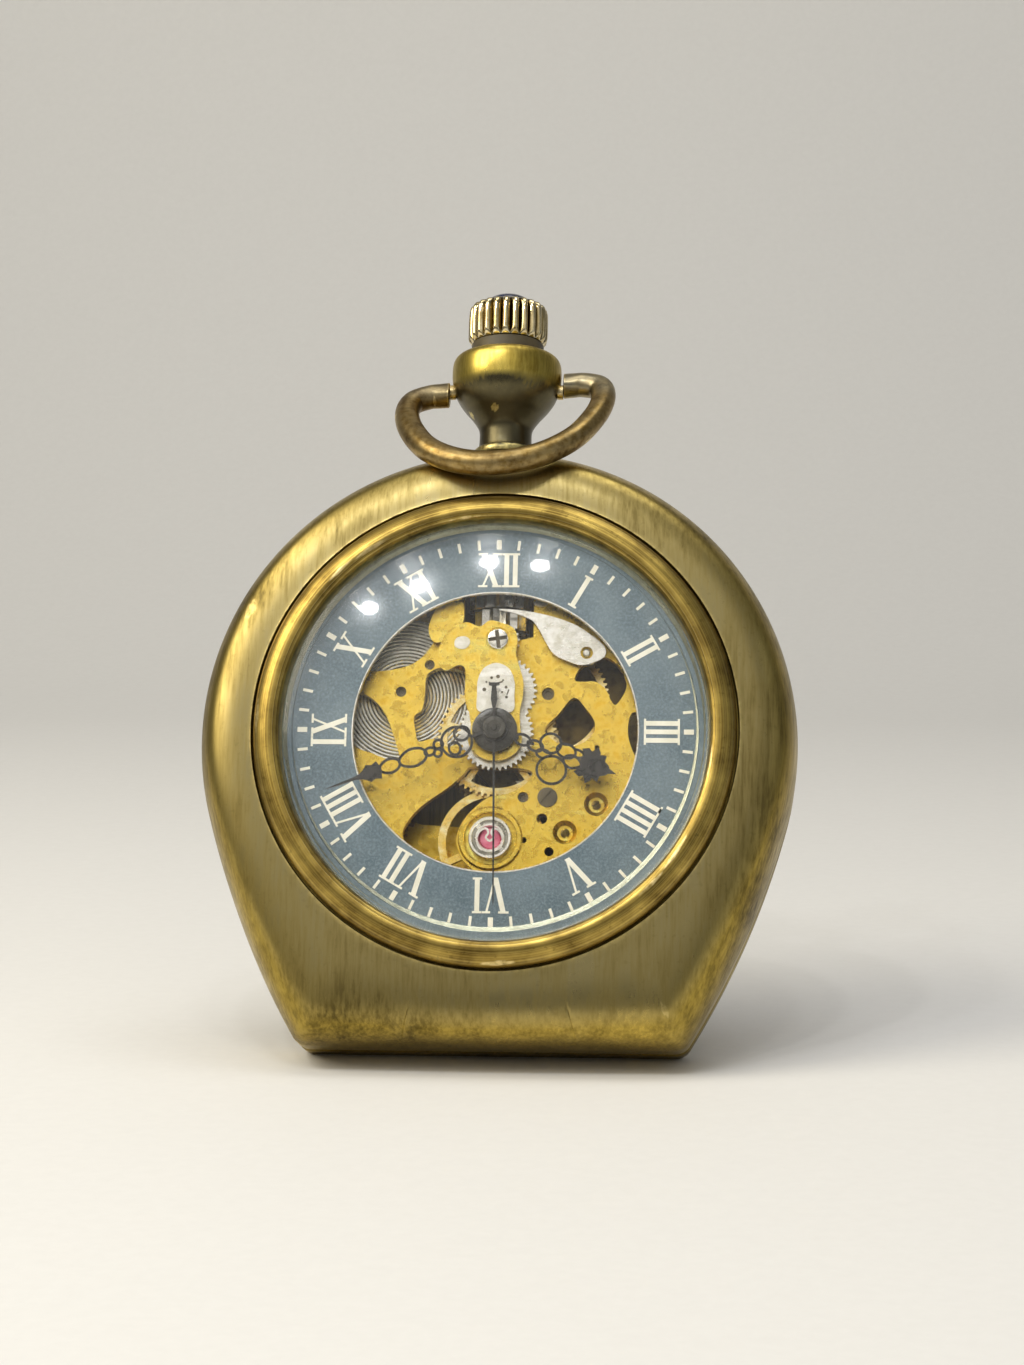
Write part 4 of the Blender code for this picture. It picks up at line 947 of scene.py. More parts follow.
# %% Windows of the plate
PLATE_RADIUS, PLATE_FRONT, PLATE_BACK = 15.9, -2.5, -1.6
BARREL, THIRD, ESCAPE, BALANCE = (-7.4, 3.4), (4.0, 3.4), (3.3, -4.1), (-0.3, -8.2)
MINUTE_WHEEL, SETTING_WHEEL, CENTRE = (0.35, 3.6), (0.35, 7.594), (0.0, 0.0)
COVER_SCREW, SIDE_SCREW, LOWER_SCREW = (0.05, 7.45), (7.9, -5.4), (5.5, -7.65)
WINDOWS = (
    ((-11.4, 3.5), (-10.3, 3.2), (-9.3, 2.4), (-8.6, 1.3), (-8.1, 0.0), (-7.7, -1.2), (-7.6, -1.95),
     (-8.5, -1.95), (-9.7, -1.5), (-11.2, -0.9), (-12.0, 0.4), (-12.0, 2.4)),
    ((-5.6, 4.8), (-4.8, 5.4), (-3.9, 5.4), (-3.1, 5.3), (-2.6, 4.9), (-2.5, 2.8), (-1.9, 0.6),
     (-2.5, -0.4), (-3.9, -0.9), (-5.0, -0.3), (-6.1, -0.5), (-6.4, 0.5), (-6.5, 1.5), (-5.9, 2.1),
     (-5.7, 3.4)),
    ((-12.2, 6.6), (-10.4, 5.3), (-8.9, 5.2), (-6.9, 5.7), (-5.6, 6.8), (-4.8, 8.4), (-4.7, 10.4),
     (-6.4, 10.4), (-9.4, 9.6), (-11.6, 8.2)),
    ((7.4, 6.2), (8.1, 6.5), (9.2, 6.0), (10.0, 4.8), (10.1, 3.8), (9.4, 2.6), (9.0, 2.8), (8.5, 3.8),
     (7.7, 4.4), (6.8, 4.4), (6.1, 4.5), (6.4, 5.4)),
    ((6.0, 3.1), (7.0, 2.2), (7.7, 1.1), (7.5, 0.1), (6.4, -0.7), (5.1, -0.7), (3.9, 0.2), (3.9, 0.8),
     (4.8, 1.7)),
    ((-7.1, -8.2), (-6.7, -6.8), (-5.5, -5.5), (-3.7, -4.2), (-2.5, -3.1), (-1.9, -2.5), (0.0, -2.6),
     (2.0, -2.6), (2.9, -3.0), (2.2, -4.0), (0.9, -4.65), (-0.4, -4.9), (-1.4, -5.6), (-2.3, -6.6),
     (-2.8, -7.6), (-2.9, -8.7), (-2.4, -9.9), (-1.6, -10.9), (-3.4, -11.3), (-5.6, -10.3)),
    ((10.6, 1.9), (11.6, 1.6), (12.4, 0.4), (12.2, -1.2), (11.2, -1.8), (10.6, -0.9), (10.3, 0.5)),
)
HOLES = (((-7.6, 3.5), 0.42), ((-5.4, 5.7), 0.4), ((4.0, 3.4), 0.5), ((2.2, -4.9), 0.42),
         ((3.7, -6.6), 0.42), ((2.3, -8.3), 0.24), ((4.3, -9.2), 0.36), ((7.9, -0.9), 0.2))
NOTCH = 2.75
start = math.degrees(math.asin(NOTCH / PLATE_RADIUS))
rim = [polar(PLATE_RADIUS, 90.0 + start + (360.0 - 2.0 * start) * k / 140) for k in range(141)]
outline = rim + [(NOTCH, 8.0), (1.6, 7.7), (-1.6, 7.7), (-NOTCH, 8.0)]
holes = [smooth_loop(loop, 5) for loop in WINDOWS]
holes += [circle(radius, 28, place) for place, radius in HOLES]
holes.append(circle(0.62, 28))
sink = [(0.0, PLATE_FRONT - 0.1), (0.96, PLATE_FRONT - 0.1), (0.94, PLATE_FRONT + 0.02),
        (0.6, PLATE_FRONT + 0.42), (0.0, PLATE_FRONT + 0.45)]
sinks = [turned(sink, 40, place) for place in (SIDE_SCREW, LOWER_SCREW)]
sinks.append(disc(2.05, PLATE_FRONT - 0.1, PLATE_FRONT + 0.3, BALANCE, 64))
make_piece("skeleton_plate", [prism(outline, PLATE_FRONT, PLATE_BACK, holes)], gilt, "case", bevel=0.07,
           stands_for=("main_plate",), cuts=sinks)
print("plate windows", len(WINDOWS), "holes", len(HOLES))

# %% A raised boss round the balance jewel, and the plate's pins
boss = [(2.06, PLATE_FRONT + 0.25), (2.06, PLATE_FRONT - 0.16), (2.14, PLATE_FRONT - 0.22),
        (2.4, PLATE_FRONT - 0.22), (2.52, PLATE_FRONT - 0.12), (2.54, PLATE_FRONT + 0.01)]
make_piece("balance_boss", [turned(boss, 80, BALANCE)], gilt, "case", smooth=30.0)
# The bearing collars in the plate's holes are painted shade black.
BEARINGS = (((-7.6, 3.5), 0.4), ((-5.4, 5.7), 0.38), ((4.0, 3.4), 0.46), ((2.2, -4.9), 0.4))
for k, (place, radius) in enumerate(BEARINGS):
    collar = [(0.0, -2.2), (0.5 * radius, -2.22), (0.62 * radius, -2.3), (radius, -2.3), (radius, -1.8),
              (0.0, -1.8)]
    make_piece("bearing_%d" % (k + 1), [turned(collar, 28, place)], shadow_black, "case", smooth=30.0)

# %% [markdown]
# The motion work is the small set of wheels between dial and plate that turns twelve minutes of arc
# into one of hours. A shaped bridge covers it, with a silvered tab round the hands' axis, and a long
# silvered leaf spring lies beside it.

# %% Motion bridge, tab and leaf spring
head = ((-2.5, 8.8), (-3.8, 8.2), (-4.5, 6.9), (-4.6, 5.6), (-4.2, 4.95), (-3.7, 4.95), (-3.1, 5.3),
        (-2.6, 5.2), (-2.4, 4.6), (-2.4, 3.3), (-2.1, 1.7), (-1.9, 0.3), (-2.1, -0.7), (-1.7, -1.6),
        (-0.8, -2.2), (0.0, -2.3), (0.8, -2.2), (1.7, -1.6), (2.1, -0.7), (1.95, 0.3), (1.9, 1.7),
        (2.1, 2.8), (2.1, 4.1), (1.8, 5.2), (1.5, 6.3), (1.6, 7.4), (1.3, 8.3), (0.5, 8.7), (-0.6, 8.95),
        (-1.4, 8.45))
cover = prism(smooth_loop(head, 4), -4.0, -3.6, [circle(0.95, 40), circle(0.34, 16, (-2.8, 7.1))])
screw_sink = turned([(0.0, -4.1), (0.98, -4.1), (0.94, -3.9), (0.0, -3.9)], 40, COVER_SCREW)
feet = [disc(0.75, -3.7, PLATE_FRONT - 0.02, (-3.55, 6.9), 28),
        disc(0.5, -3.7, PLATE_FRONT - 0.02, (-2.2, 8.1), 24)]
make_piece("motion_bridge", [cover, *feet], gilt, "case", bevel=0.06, stands_for=("motion_cover",),
           cuts=[screw_sink])
tab = smooth_loop(((-1.36, 1.6), (-1.46, 2.9), (-1.42, 4.1), (-0.95, 5.05), (0.0, 5.45), (0.95, 5.05),
                   (1.42, 4.1), (1.46, 2.9), (1.36, 1.6), (0.0, 1.5)), 6)
make_piece("hub_tab_plate", [prism(tab, -4.2, -4.03)], silver, "case", bevel=0.05, stands_for=("hub_tab",))
leaf = ((0.0, 10.1), (1.6, 10.05), (3.8, 9.65), (5.9, 8.95), (7.4, 8.0), (8.4, 7.1), (8.4, 6.3),
        (7.5, 5.8), (6.5, 5.6), (5.3, 6.0), (4.4, 6.5), (3.8, 7.4), (3.2, 8.5), (2.6, 9.25), (1.4, 9.75))
PIN_PLACE = (7.0, 6.6)
leaf_plate = prism(smooth_loop(leaf, 5), -3.1, -2.84, [circle(0.5, 24, PIN_PLACE)])
leaf_foot = disc(0.95, -2.9, -2.52, PIN_PLACE, 32)
make_piece("leaf_spring_plate", [leaf_plate, leaf_foot], silver, "case", bevel=0.05,
           stands_for=("lever_spring",), cuts=[disc(0.5, -3.2, -2.4, PIN_PLACE, 24)])
pin = [(0.0, -3.2), (0.2, -3.2), (0.3, -3.1), (0.3, -2.5), (0.0, -2.5)]
make_piece("leaf_spring_pin", [turned(pin, 24, PIN_PLACE)], steel, "case", smooth=30.0)
# The tab's engraved marks are drawn as small dark prisms: painted shade in the engraving.
mark_places = ((-0.75, 3.9), (-0.35, 4.25), (0.15, 4.35), (0.55, 4.05), (0.8, 3.5), (-0.9, 3.3),
               (0.5, 3.1), (0.85, 2.7))
marks = [circle(0.08 + 0.035 * (k % 3), 12, place) for k, place in enumerate(mark_places)]
dashes = ((0.3, 0.06, 20.0, (0.25, 3.85)), (0.25, 0.05, -35.0, (-0.35, 3.75)),
          (0.22, 0.05, 70.0, (0.95, 3.1)))
marks += [turned_outline(centred_slab(long, wide), turn, place) for long, wide, turn, place in dashes]
make_piece("tab_marks", [many_prisms(marks, [-4.225] * len(marks), -4.19)], shadow_black, "case")
lever_cover = smooth_loop(((-5.5, 8.5), (-5.0, 10.0), (-4.3, 10.75), (-3.0, 10.75), (-2.72, 9.9),
                           (-2.8, 9.0), (-3.4, 8.2), (-4.2, 7.5), (-5.1, 7.4)), 5)
make_piece("setting_cover", [prism(lever_cover, -3.25, -3.02), disc(0.3, -3.1, -2.48, (-4.45, 7.9), 24)],
           gilt, "case", bevel=0.05)
shaped_pin = smooth_loop(((-3.25, 6.75), (-2.6, 6.6), (-2.2, 6.9), (-2.15, 7.35), (-2.5, 7.62),
                          (-3.1, 7.55), (-3.35, 7.2)), 4)
make_piece("motion_bridge_pin", [prism(shaped_pin, -4.06, -3.7)], silver, "case", bevel=0.04)
print("dial side plates made")

# %% Slotted screws
def screw(name, node, place, radius, face, thick, slots=1, angle=20.0, material=steel):
    """A chamfered head with one slot, or two that cross. Thick is negative towards the dial."""
    out = 1.0 if thick > 0 else -1.0
    head = [(0.0, face), (radius, face), (radius, face + 0.7 * thick), (radius - 0.08, face + 0.92 * thick),
            (radius - 0.14, face + thick), (0.0, face + 1.04 * thick)]
    half_slot = 0.19 * radius
    cuts = []
    for k in range(slots):
        bar = turned_outline(centred_slab(1.2 * radius, half_slot), angle + 90.0 * k, place)
        depth = sorted((face + 0.12 * thick, face + 1.3 * thick + 0.05 * out))
        cuts.append(prism(bar, *depth))
    make_piece(name, [turned(head, 32, place)], material, "case", stands_for=(node,), smooth=30.0,
               cuts=cuts)
    # Under the two crossed slots lie painted shade black bars, so that the slots read dark.
    if slots == 2:
        short = centred_slab(0.9 * radius, half_slot)
        bars = [turned_outline(short, angle + 90.0 * k, place) for k in range(2)]
        slot_shade = [prism(bar, face + 0.3 * thick - 0.01 * k, face + 0.1 * thick) for k, bar in enumerate(bars)]
        make_piece(name + "_grime", slot_shade, shadow_black, "case")


screw("motion_bridge_screw", "cover_screw", COVER_SCREW, 0.8, -3.89, -0.28, 2, 8.0, silver)
# The escape cap is painted shade black.
screw("escape_cap", "plate_screw_upper", (4.1, -4.9), 0.78, PLATE_FRONT - 0.02, -0.1, 1, 50.0, shadow_black)
# The two countersunk screws sit deep in their sinks and get the brass darkened as painted shade.
screw("side_screw", "plate_screw_side", SIDE_SCREW, 0.36, PLATE_FRONT + 0.46, -0.2, 1, 30.0, inner_brass_in_painted_shade)
screw("lower_screw", "plate_screw_lower", LOWER_SCREW, 0.36, PLATE_FRONT + 0.46, -0.2, 1, 110.0, inner_brass_in_painted_shade)
BRIDGE_FACE, HEAD_THICKNESS = 2.72, 0.4
for node, place, radius, angle in (("barrel_bridge_screw", (-12.6, -3.6), 0.8, 40.0),
                                   ("train_bridge_screw", (10.6, -2.0), 0.8, 75.0),
                                   ("balance_cock_screw", (-9.8, -8.9), 0.9, 10.0)):
    screw(node + "_head", node, place, radius, BRIDGE_FACE, HEAD_THICKNESS, 1, angle)

# %% [markdown]
# The balance runs in a ruby. The ruby sits in a silver ring and is held by a lyre-shaped spring, so
# that a knock lets it give and come back. It is the only red in the watch.

# %% Jewel setting
ring = [(0.86, -2.5), (0.88, -2.78), (0.96, -2.92), (1.12, -2.92), (1.2, -2.8), (1.36, -2.8), (1.44, -2.96),
        (1.62, -2.96), (1.7, -2.86), (1.7, -2.3), (0.9, -2.3)]
make_piece("jewel_ring", [turned(ring, 72, BALANCE)], silver, "case", stands_for=("jewel_setting",),
           smooth=30.0)
bowl = [(0.0, -2.76), (0.45, -2.74), (0.76, -2.64), (0.85, -2.5), (0.85, -2.3), (0.0, -2.3)]
make_piece("jewel_stone", [turned(bowl, 48, BALANCE)], ruby, "case", smooth=30.0)
lyre = smooth_path(((-0.2, -1.1), (-0.75, -0.85), (-1.02, -0.2), (-0.8, 0.45), (-0.3, 0.7), (-0.12, 0.35),
                    (-0.3, 0.0), (0.0, -0.28), (0.3, 0.0), (0.12, 0.35), (0.3, 0.7), (0.8, 0.45),
                    (1.02, -0.2), (0.75, -0.85), (0.2, -1.1)), 6)


def strip_edges(path, wide, closed=False):
    """The outer and inner edge of a flat strip along a path."""
    outer, inner = [], []
    for k, (x, z) in enumerate(path):
        before, after = max(k - 1, 0), min(k + 1, len(path) - 1)
        if closed:
            before, after = k - 1, (k + 1) % len(path)
        run = heading(path[before], path[after])
        outer.append((x + run.y * wide / 2, z - run.x * wide / 2))
        inner.append((x - run.y * wide / 2, z + run.x * wide / 2))
    return outer, inner


def ribbon(path, wide, front, back, place):
    """A strip that follows an open path."""
    loops = []
    for far, near in zip(*strip_edges(path, wide)):
        far_x, far_z = far[0] + place[0], far[1] + place[1]
        near_x, near_z = near[0] + place[0], near[1] + place[1]
        loops.append([(near_x, front, near_z), (far_x, front, far_z), (far_x, back, far_z),
                      (near_x, back, near_z)])
    return loft(loops, capped=True)


make_piece("jewel_spring", [ribbon(lyre, 0.16, -3.0, -2.93, BALANCE)], silver, "case", smooth=40.0)
print("jewel set at", BALANCE)

# %% [markdown]
# ## Wheels
# A watch wheel has spokes, and teeth with curved flanks. A tooth here is drawn with a root, two
# flank points and a rounded tip, from the same tooth counts and centre distances as the frame, so the
# wheels still mesh. The spring barrel has turned rings on its lid.

# %% Teeth and spokes
TOOTH = ((-1.15, -0.5), (-1.1, -0.3), (0.0, -0.2), (0.5, -0.1), (0.75, 0.0), (0.5, 0.1), (0.0, 0.2),
         (-1.1, 0.3))


def toothed(count, module, phase, centre):
    """A wheel's outline. A tooth points at the phase angle."""
    pitch, radius = 360.0 / count, 0.5 * count * module
    made = []
    for k in range(count):
        for reach, share in TOOTH:
            made.append(polar(radius + reach * module, phase + k * pitch + share * pitch, centre))
    return made


def crossings(count, inner, outer, spoke, centre, phase=0.0):
    """The openings between a wheel's spokes."""
    holes = []
    for k in range(count):
        start, end = phase + 360.0 * k / count, phase + 360.0 * (k + 1) / count
        near, far = math.degrees(0.5 * spoke / inner), math.degrees(0.5 * spoke / outer)
        rim = [polar(outer, start + far + (end - start - 2 * far) * j / 14, centre) for j in range(15)]
        hub = [polar(inner, end - near - (end - start - 2 * near) * j / 6, centre) for j in range(7)]
        holes.append(rim + hub)
    return holes


def module_of(start, end, first_teeth, second_teeth):
    return 2.0 * distance(start, end) / (first_teeth + second_teeth)


# %% Barrel with its turned lid
module = module_of(BARREL, CENTRE, 66, 11)
teeth = toothed(66, module, bearing(BARREL, CENTRE), BARREL)
barrel_ring = prism(teeth, -1.05, -0.55, [circle(5.6, 72, BARREL)])
drum = sleeve(5.9, 6.35, -0.7, 0.9, BARREL, 96)
make_piece("barrel_wheel", [barrel_ring, drum], gilt_wheel, "barrel_body", stands_for=("barrel",),
           smooth=30.0)
grooves = [(0.72, -0.6), (0.72, -1.12), (1.5, -1.16)]
radius = 1.6
while radius < 6.1:
    grooves += [(radius, -1.09), (radius + 0.05, -1.05), (radius + 0.1, -1.13), (radius + 0.22, -1.14)]
    radius += 0.28
lid = [*grooves, (6.3, -1.1), (6.34, -1.0), (6.34, -0.75), (5.7, -0.6)]
make_piece("barrel_lid", [turned(lid, 120, BARREL)], ring_steel, "barrel_body", smooth=25.0)

# %% Train wheels
FINE_TEETH = dict(bevel=0.02, steps=1, smooth=40.0)


def wheel(node, body, centre, teeth, module, drives, depth, spokes, extra):
    """A spoked wheel. One tooth points at the wheel it drives."""
    outline = toothed(teeth, module, bearing(centre, drives), centre)
    count, hub, rim, wide, turn = spokes
    shapes = [prism(outline, *depth, crossings(count, hub, rim, wide, centre, turn)), *extra]
    make_piece(node + "_cut", shapes, gilt_wheel, body, stands_for=(node,), **FINE_TEETH)


to_third = module_of(CENTRE, THIRD, 60, 8)
to_fourth = module_of(THIRD, CENTRE, 64, 8)
to_escape = module_of(CENTRE, ESCAPE, 60, 6)
centre_pinion = toothed(11, module, bearing(CENTRE, BARREL) + 180.0 / 11, CENTRE)
wheel("centre_wheel", "centre", CENTRE, 60, to_third, THIRD, (-1.4, -1.2), (5, 1.45, 3.95, 0.5, 20.0),
      [prism(centre_pinion, -1.25, -0.5), disc(0.5, -2.45, -1.3, CENTRE, 24)])
third_pinion = toothed(8, to_third, bearing(CENTRE, THIRD) + 180.0 + 180.0 / 8, THIRD)
wheel("third_wheel", "third", THIRD, 64, to_fourth, CENTRE, (0.0, 0.2), (4, 0.9, 4.05, 0.45, 10.0),
      [prism(third_pinion, -1.5, -1.05), disc(0.3, -1.3, 0.1, THIRD, 20), disc(0.15, 0.1, 2.3, THIRD, 16)])
fourth_pinion = toothed(8, to_fourth, bearing(THIRD, CENTRE) + 180.0 + 180.0 / 8, CENTRE)
wheel("fourth_wheel", "fourth_and_seconds", CENTRE, 60, to_escape, ESCAPE, (1.05, 1.25),
      (4, 0.9, 4.3, 0.45, 35.0),
      [prism(fourth_pinion, -0.2, 0.4), disc(0.15, -5.05, 2.3, CENTRE, 16),
       disc(0.35, 0.3, 1.15, CENTRE, 20)])
print("train modules mm", round(to_third, 4), round(to_fourth, 4), round(to_escape, 4))

# %% Balance wheel
rim = prism(circle(4.2, 96, BALANCE), -0.9, -0.4, crossings(2, 0.7, 3.6, 0.55, BALANCE, 25.0))
shapes = [rim, disc(0.22, -1.55, 1.7, BALANCE, 20), disc(0.55, 0.2, 0.6, BALANCE, 28)]
make_piece("balance_wheel_cut", shapes, gilt_wheel, "balance", bevel=0.05, stands_for=("balance_wheel",))

# %% Motion work under the hands
first = module_of(CENTRE, MINUTE_WHEEL, 12, 36)
second = module_of(CENTRE, MINUTE_WHEEL, 40, 10)
motion_line = bearing(CENTRE, MINUTE_WHEEL)
setting_line = bearing(MINUTE_WHEEL, SETTING_WHEEL)
cannon = toothed(12, first, motion_line, CENTRE)
cannon_sleeve = sleeve(0.22, 0.4, -4.88, -2.8, CENTRE, 28)
make_piece("cannon_pinion_cut", [prism(cannon, -2.9, -2.53, [circle(0.3, 20)]), cannon_sleeve], steel,
           "minute_works", stands_for=("cannon_pinion",))
minute_teeth = toothed(36, first, motion_line + 180.0 + 180.0 / 36, MINUTE_WHEEL)
minute_leaf = toothed(10, second, motion_line + 180.0, MINUTE_WHEEL)
make_piece("minute_wheel_cut", [prism(minute_teeth, -2.8, -2.53), prism(minute_leaf, -3.4, -2.7)], silver,
           "minute_wheel_body", stands_for=("minute_wheel",), **FINE_TEETH)
hour_teeth = toothed(40, second, motion_line + 180.0 / 40, CENTRE)
hour_sleeve = sleeve(0.45, 0.8, -4.52, -3.1, CENTRE, 40)
make_piece("hour_wheel_cut", [prism(hour_teeth, -3.3, -3.0, [circle(0.45, 28)]), hour_sleeve], silver,
           "hour_works", stands_for=("hour_wheel",), **FINE_TEETH)
setting_teeth = toothed(17, first, setting_line + 180.0 + 180.0 / 17, SETTING_WHEEL)
make_piece("setting_wheel_cut", [prism(setting_teeth, -2.8, -2.53)], silver, "setting_wheel_body",
           stands_for=("setting_wheel",), **FINE_TEETH)
print("motion modules mm", round(first, 4), round(second, 4))

# %% [markdown]
# ## The hands
# Serpentine hands are pierced from thin sheet, so that only black outlines are left round open loops,
# with a solid leaf before the tip. Each hand is drawn pointing up, as loops of flat wire and a leaf
# that overlap, joined into one piece, and then turned to the time shown.

# %% Wire loops and leaves
def oval(across, along, middle, side=0.0, pinch=0.0):
    """Eight points of an oval standing along the hand. Pinch draws its outer end to a point."""
    made = []
    for k in range(8):
        turn = math.tau * k / 8
        u, v = across * math.sin(turn), along * math.cos(turn)
        if v > 0:
            u *= 1.0 - pinch * v / along
        made.append((side + u, middle + v))
    return made


def hand_shapes(clock, front, back, hub, bore, loops, solids, wire=0.2):
    """All the flat shapes of a hand at its clock angle."""
    def turned_flat(outline):
        return turned_outline(outline, -clock)

    shapes = [sleeve(bore, hub, front, back, CENTRE, 64)] if bore else [disc(hub, front, back, CENTRE, 64)]
    for k, points in enumerate(loops):
        outer, inner = strip_edges(smooth_loop(points, 6), wire, closed=True)
        lift = 0.0015 * (k % 4)
        shapes.append(prism(turned_flat(outer), front + lift, back - lift, [turned_flat(inner)]))
    for k, outline in enumerate(solids):
        lift = 0.001 + 0.0013 * (k % 5)
        shapes.append(prism(turned_flat(outline), front + lift, back - lift))
    return shapes


def mirrored(half):
    return half + [(-x, z) for x, z in reversed(half) if x > 1e-6]


# %% Hour hand
HOUR_ANGLE, MINUTE_ANGLE, SECONDS_ANGLE = 110.0, 249.3, 179.0
HOUR_DEPTH, MINUTE_DEPTH, SECONDS_DEPTH = (-4.66, -4.54), (-5.02, -4.9), (-5.26, -5.14)
hour_loops = [
    oval(0.42, 0.62, 2.35), oval(0.78, 0.82, 4.5, -0.5), oval(1.1, 1.15, 5.3, 1.45),
    oval(0.55, 0.75, 5.85, -0.35), oval(0.4, 0.62, 3.45, 0.1), oval(0.5, 0.72, 6.6, 0.3, 0.3),
    oval(0.34, 0.6, 4.3, 0.5), oval(0.3, 0.5, 6.75, -0.45),
]
flower = [(0.14, 7.15), (0.5, 7.3), (0.95, 6.95), (1.2, 7.45), (1.0, 7.75), (1.5, 8.1), (1.1, 8.45),
          (0.95, 8.4), (1.1, 8.95), (0.62, 8.95), (0.4, 9.35), (0.2, 9.5), (0.0, 10.1)]
hour_solids = [mirrored(flower), slab(-0.13, 0.6, 0.13, 2.0), slab(-0.1, 6.7, 0.1, 7.3),
               slab(-0.1, 2.7, 0.1, 3.3)]
hour = hand_shapes(HOUR_ANGLE, *HOUR_DEPTH, 1.35, 0.5, hour_loops, hour_solids)
make_piece("hour_hand_pierced", hour, black, "hour_works", stands_for=("hour_hand",), smooth=30.0)

# %% Minute hand
minute_loops = [
    oval(1.2, 1.2, 3.1, 0.0), oval(0.55, 0.6, 2.5, 0.5), oval(0.36, 0.36, 4.5, 0.3),
    oval(0.3, 0.3, 4.75, -0.32), oval(0.7, 1.12, 6.7, 0.0, 0.15), oval(0.55, 0.82, 8.6, 0.0, 0.15),
    oval(0.3, 0.42, 5.3, 0.0), oval(0.5, 0.45, 3.4, -0.45),
]
leaf_half = [(0.1, 9.3), (0.3, 9.35), (0.72, 9.5), (0.55, 9.95), (0.7, 10.35), (0.4, 10.7), (0.2, 11.1),
             (0.12, 11.5), (0.08, 12.8), (0.0, 13.95)]
minute_solids = [mirrored(leaf_half), slab(-0.12, 0.4, 0.12, 2.0), slab(-0.1, 4.2, 0.1, 5.6),
                 slab(-0.08, 7.7, 0.08, 7.9)]
minute = hand_shapes(MINUTE_ANGLE, *MINUTE_DEPTH, 1.05, 0.25, minute_loops, minute_solids)
make_piece("minute_hand_pierced", minute, black, "minute_works", stands_for=("minute_hand",), smooth=30.0)

# %% Seconds hand and the hub
sweep = [(0.42, -3.62), (0.42, -3.42), (0.17, -3.34), (0.26, -2.3), (0.1, -1.5), (0.1, 0.0), (0.05, 13.6),
         (0.0, 14.0)]
seconds = hand_shapes(SECONDS_ANGLE, *SECONDS_DEPTH, 0.85, 0.0, [], [mirrored(sweep)])
make_piece("seconds_hand_pierced", seconds, black, "fourth_and_seconds", stands_for=("seconds_hand",),
           smooth=30.0)
cap = [(0.0, -5.44), (0.2, -5.43), (0.26, -5.36), (0.5, -5.36), (0.56, -5.4), (0.86, -5.37), (0.9, -5.3),
       (0.9, -5.12), (0.0, -5.12)]
make_piece("seconds_cap", [turned(cap, 64)], hub_black, "fourth_and_seconds", smooth=30.0)
disc_profile = [(0.42, -4.74), (1.1, -4.76), (1.5, -4.72), (1.74, -4.64), (1.76, -4.54), (0.52, -4.54),
                (0.42, -4.6)]
make_piece("hour_hub", [turned(disc_profile, 80)], hub_black, "hour_works", smooth=30.0)
print("hands at", HOUR_ANGLE, MINUTE_ANGLE, SECONDS_ANGLE)

# %% [markdown]
# ## Parts kept as they are
# The bridges, the winding work and the escapement sit behind the plate and need no other shape than
# the frame's. They get gilt near the dial and polished steel for moving work; the bridges deep inside
# get dull brass darkened further as painted shade.

# %% Finish the remaining solids
KEPT = (
    (gilt, ("movement_ring", "case_clamp_left", "case_clamp_right", "balance_cock")),
    (inner_brass_in_painted_shade, ("barrel_bridge", "train_bridge", "pallet_bridge")),
    (steel, ("winding_stem", "winding_pinion", "clutch_wheel", "setting_lever", "yoke", "crown_wheel",
             "crown_wheel_hub", "ratchet_wheel", "barrel_arbor", "click", "mainspring", "escape_wheel",
             "pallet_fork")),
    (blued, ("hairspring",)),
)
for finish, names in KEPT:
    for name in names:
        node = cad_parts[name]
        if not node.material_slots:
            node.data.materials.append(finish)
        for place in node.material_slots:
            place.material = finish
print("kept solids", sum(len(names) for finish, names in KEPT))

# %% [markdown]
# ## Stage, light and camera
# The watch leans back on its foot, so the floor slopes in the watch's own frame. A pale sheet runs
# under it and curves up behind. Large soft lights give brass its long highlights; a few small ones
# make the reflections that tell the eye the crystal is a dome.

# %% Floor
LEAN = math.radians(20.0)
FLOOR_Y, SWEEP_START, SWEEP_RADIUS = 4.2, 230.0, 160.0


def make_floor():
    section = [(-900.0, 0.0), (-300.0, 0.0), (-100.0, 0.0), (SWEEP_START, 0.0)]
    for k in range(1, 13):
        turn = math.radians(7.5 * k)
        section.append((SWEEP_START + SWEEP_RADIUS * math.sin(turn), SWEEP_RADIUS * (1.0 - math.cos(turn))))
    section.append((SWEEP_START + SWEEP_RADIUS, 1400.0))
    cos, sin = math.cos(LEAN), math.sin(LEAN)
    points, faces = [], []
    for away, up in section:
        y, z = FLOOR_Y + away * cos - up * sin, away * sin + up * cos
        points += [(side * MM, y * MM, z * MM) for side in (-1200.0, 1200.0)]
    for k in range(len(section) - 1):
        faces.append((2 * k, 2 * k + 1, 2 * k + 3, 2 * k + 2))
    mesh = bpy.data.meshes.new("floor")
    mesh.from_pydata(points, [], faces)
    mesh.shade_smooth()
    made = bpy.data.objects.new("floor", mesh)
    put_in_scene(made)
    paper, tree, surface = plain_material("pale_paper", (0.80, 0.79, 0.77), 0.7)
    grain = noise_node(tree, scaled_place(tree), 900.0, 4.0, 0.6)
    tree.links.new(mix_colour(tree, grain, (0.78, 0.77, 0.75), (0.83, 0.82, 0.80)),
                   surface.inputs["Base Color"])
    mesh.materials.append(paper)


make_floor()

# %% Lights
AIM = (0.0, 0.0, 26.0)
SPARK_DISTANCE = 260.0
SPARKS = ((-136.0, 204.0, 0.07), (-90.0, 221.0, 0.09), (-30.0, 245.0, 0.08), (15.0, 241.0, 0.05))


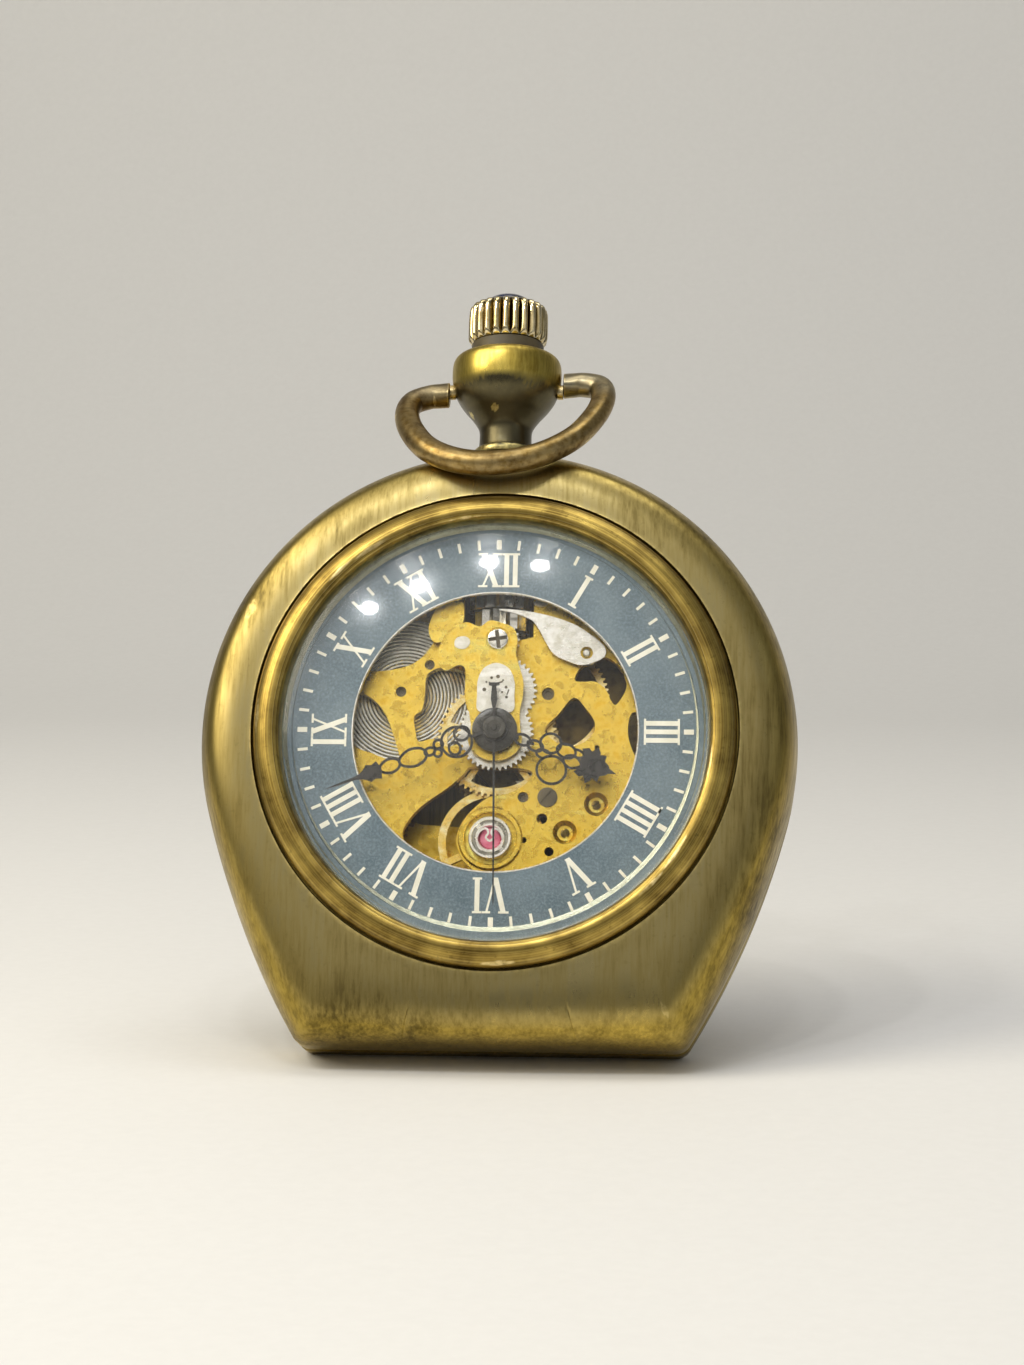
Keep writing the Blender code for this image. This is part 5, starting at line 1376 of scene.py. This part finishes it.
def soft_light(name, place, size, power, colour=(1.0, 1.0, 1.0)):
    """An area light in millimetres from the foot of the watch, turned to face it."""
    lamp = bpy.data.lights.new(name, "AREA")
    lamp.shape = "RECTANGLE"
    lamp.size, lamp.size_y = size[0] * MM, size[1] * MM
    lamp.energy = power
    lamp.color = colour
    made = bpy.data.objects.new(name, lamp)
    made.location = Vector(place) * MM
    made.rotation_euler = (Vector(AIM) * MM - made.location).to_track_quat("-Z", "Y").to_euler()
    put_in_scene(made)
    return made


soft_light("key", (-270.0, -210.0, 220.0), (200.0, 260.0), 0.95, (1.0, 0.92, 0.74))
soft_light("top", (30.0, -120.0, 360.0), (300.0, 160.0), 0.42, (1.0, 0.98, 0.94))
soft_light("fill", (300.0, -260.0, 60.0), (160.0, 300.0), 0.06, (0.94, 0.97, 1.0))
soft_light("front", (-40.0, -420.0, 170.0), (520.0, 340.0), 0.31, (1.0, 0.95, 0.84))
for k, (x, z, power) in enumerate(SPARKS):
    soft_light("spark_%d" % (k + 1), (x, -SPARK_DISTANCE, z), (18.0, 14.0), power).data.shape = "ELLIPSE"
world = bpy.data.worlds.new("studio")
bpy.context.scene.world = world
world.use_nodes = True
sky = world.node_tree.nodes["Background"]
sky.inputs["Color"].default_value = (0.85, 0.88, 0.92, 1.0)
sky.inputs["Strength"].default_value = 0.22
bpy.context.scene.view_settings.view_transform = "Standard"

# %% Camera
AROUND, ABOVE, ROLL = math.radians(3.908), math.radians(-13.98), math.radians(1.287)
AWAY, FOCAL_LENGTH, SENSOR_WIDTH = 238.9, 80.35, 36.0
TARGET = Vector((1.25, -4.2, 28.32))
back = Vector((math.sin(AROUND) * math.cos(ABOVE), -math.cos(AROUND) * math.cos(ABOVE), math.sin(ABOVE)))
side = (-back).cross(Vector((0.0, 0.0, 1.0))).normalized()
lift = side.cross(-back)
right = side * math.cos(ROLL) + lift * math.sin(ROLL)
up = lift * math.cos(ROLL) - side * math.sin(ROLL)
lens = bpy.data.cameras.new("camera")
lens.lens = FOCAL_LENGTH
lens.sensor_width = SENSOR_WIDTH
lens.clip_start, lens.clip_end = 0.005, 20.0
camera = bpy.data.objects.new("camera", lens)
turn = Matrix((right, up, back)).transposed().to_4x4()
camera.matrix_world = Matrix.Translation((TARGET + back * AWAY) * MM) @ turn
put_in_scene(camera)
bpy.context.scene.camera = camera
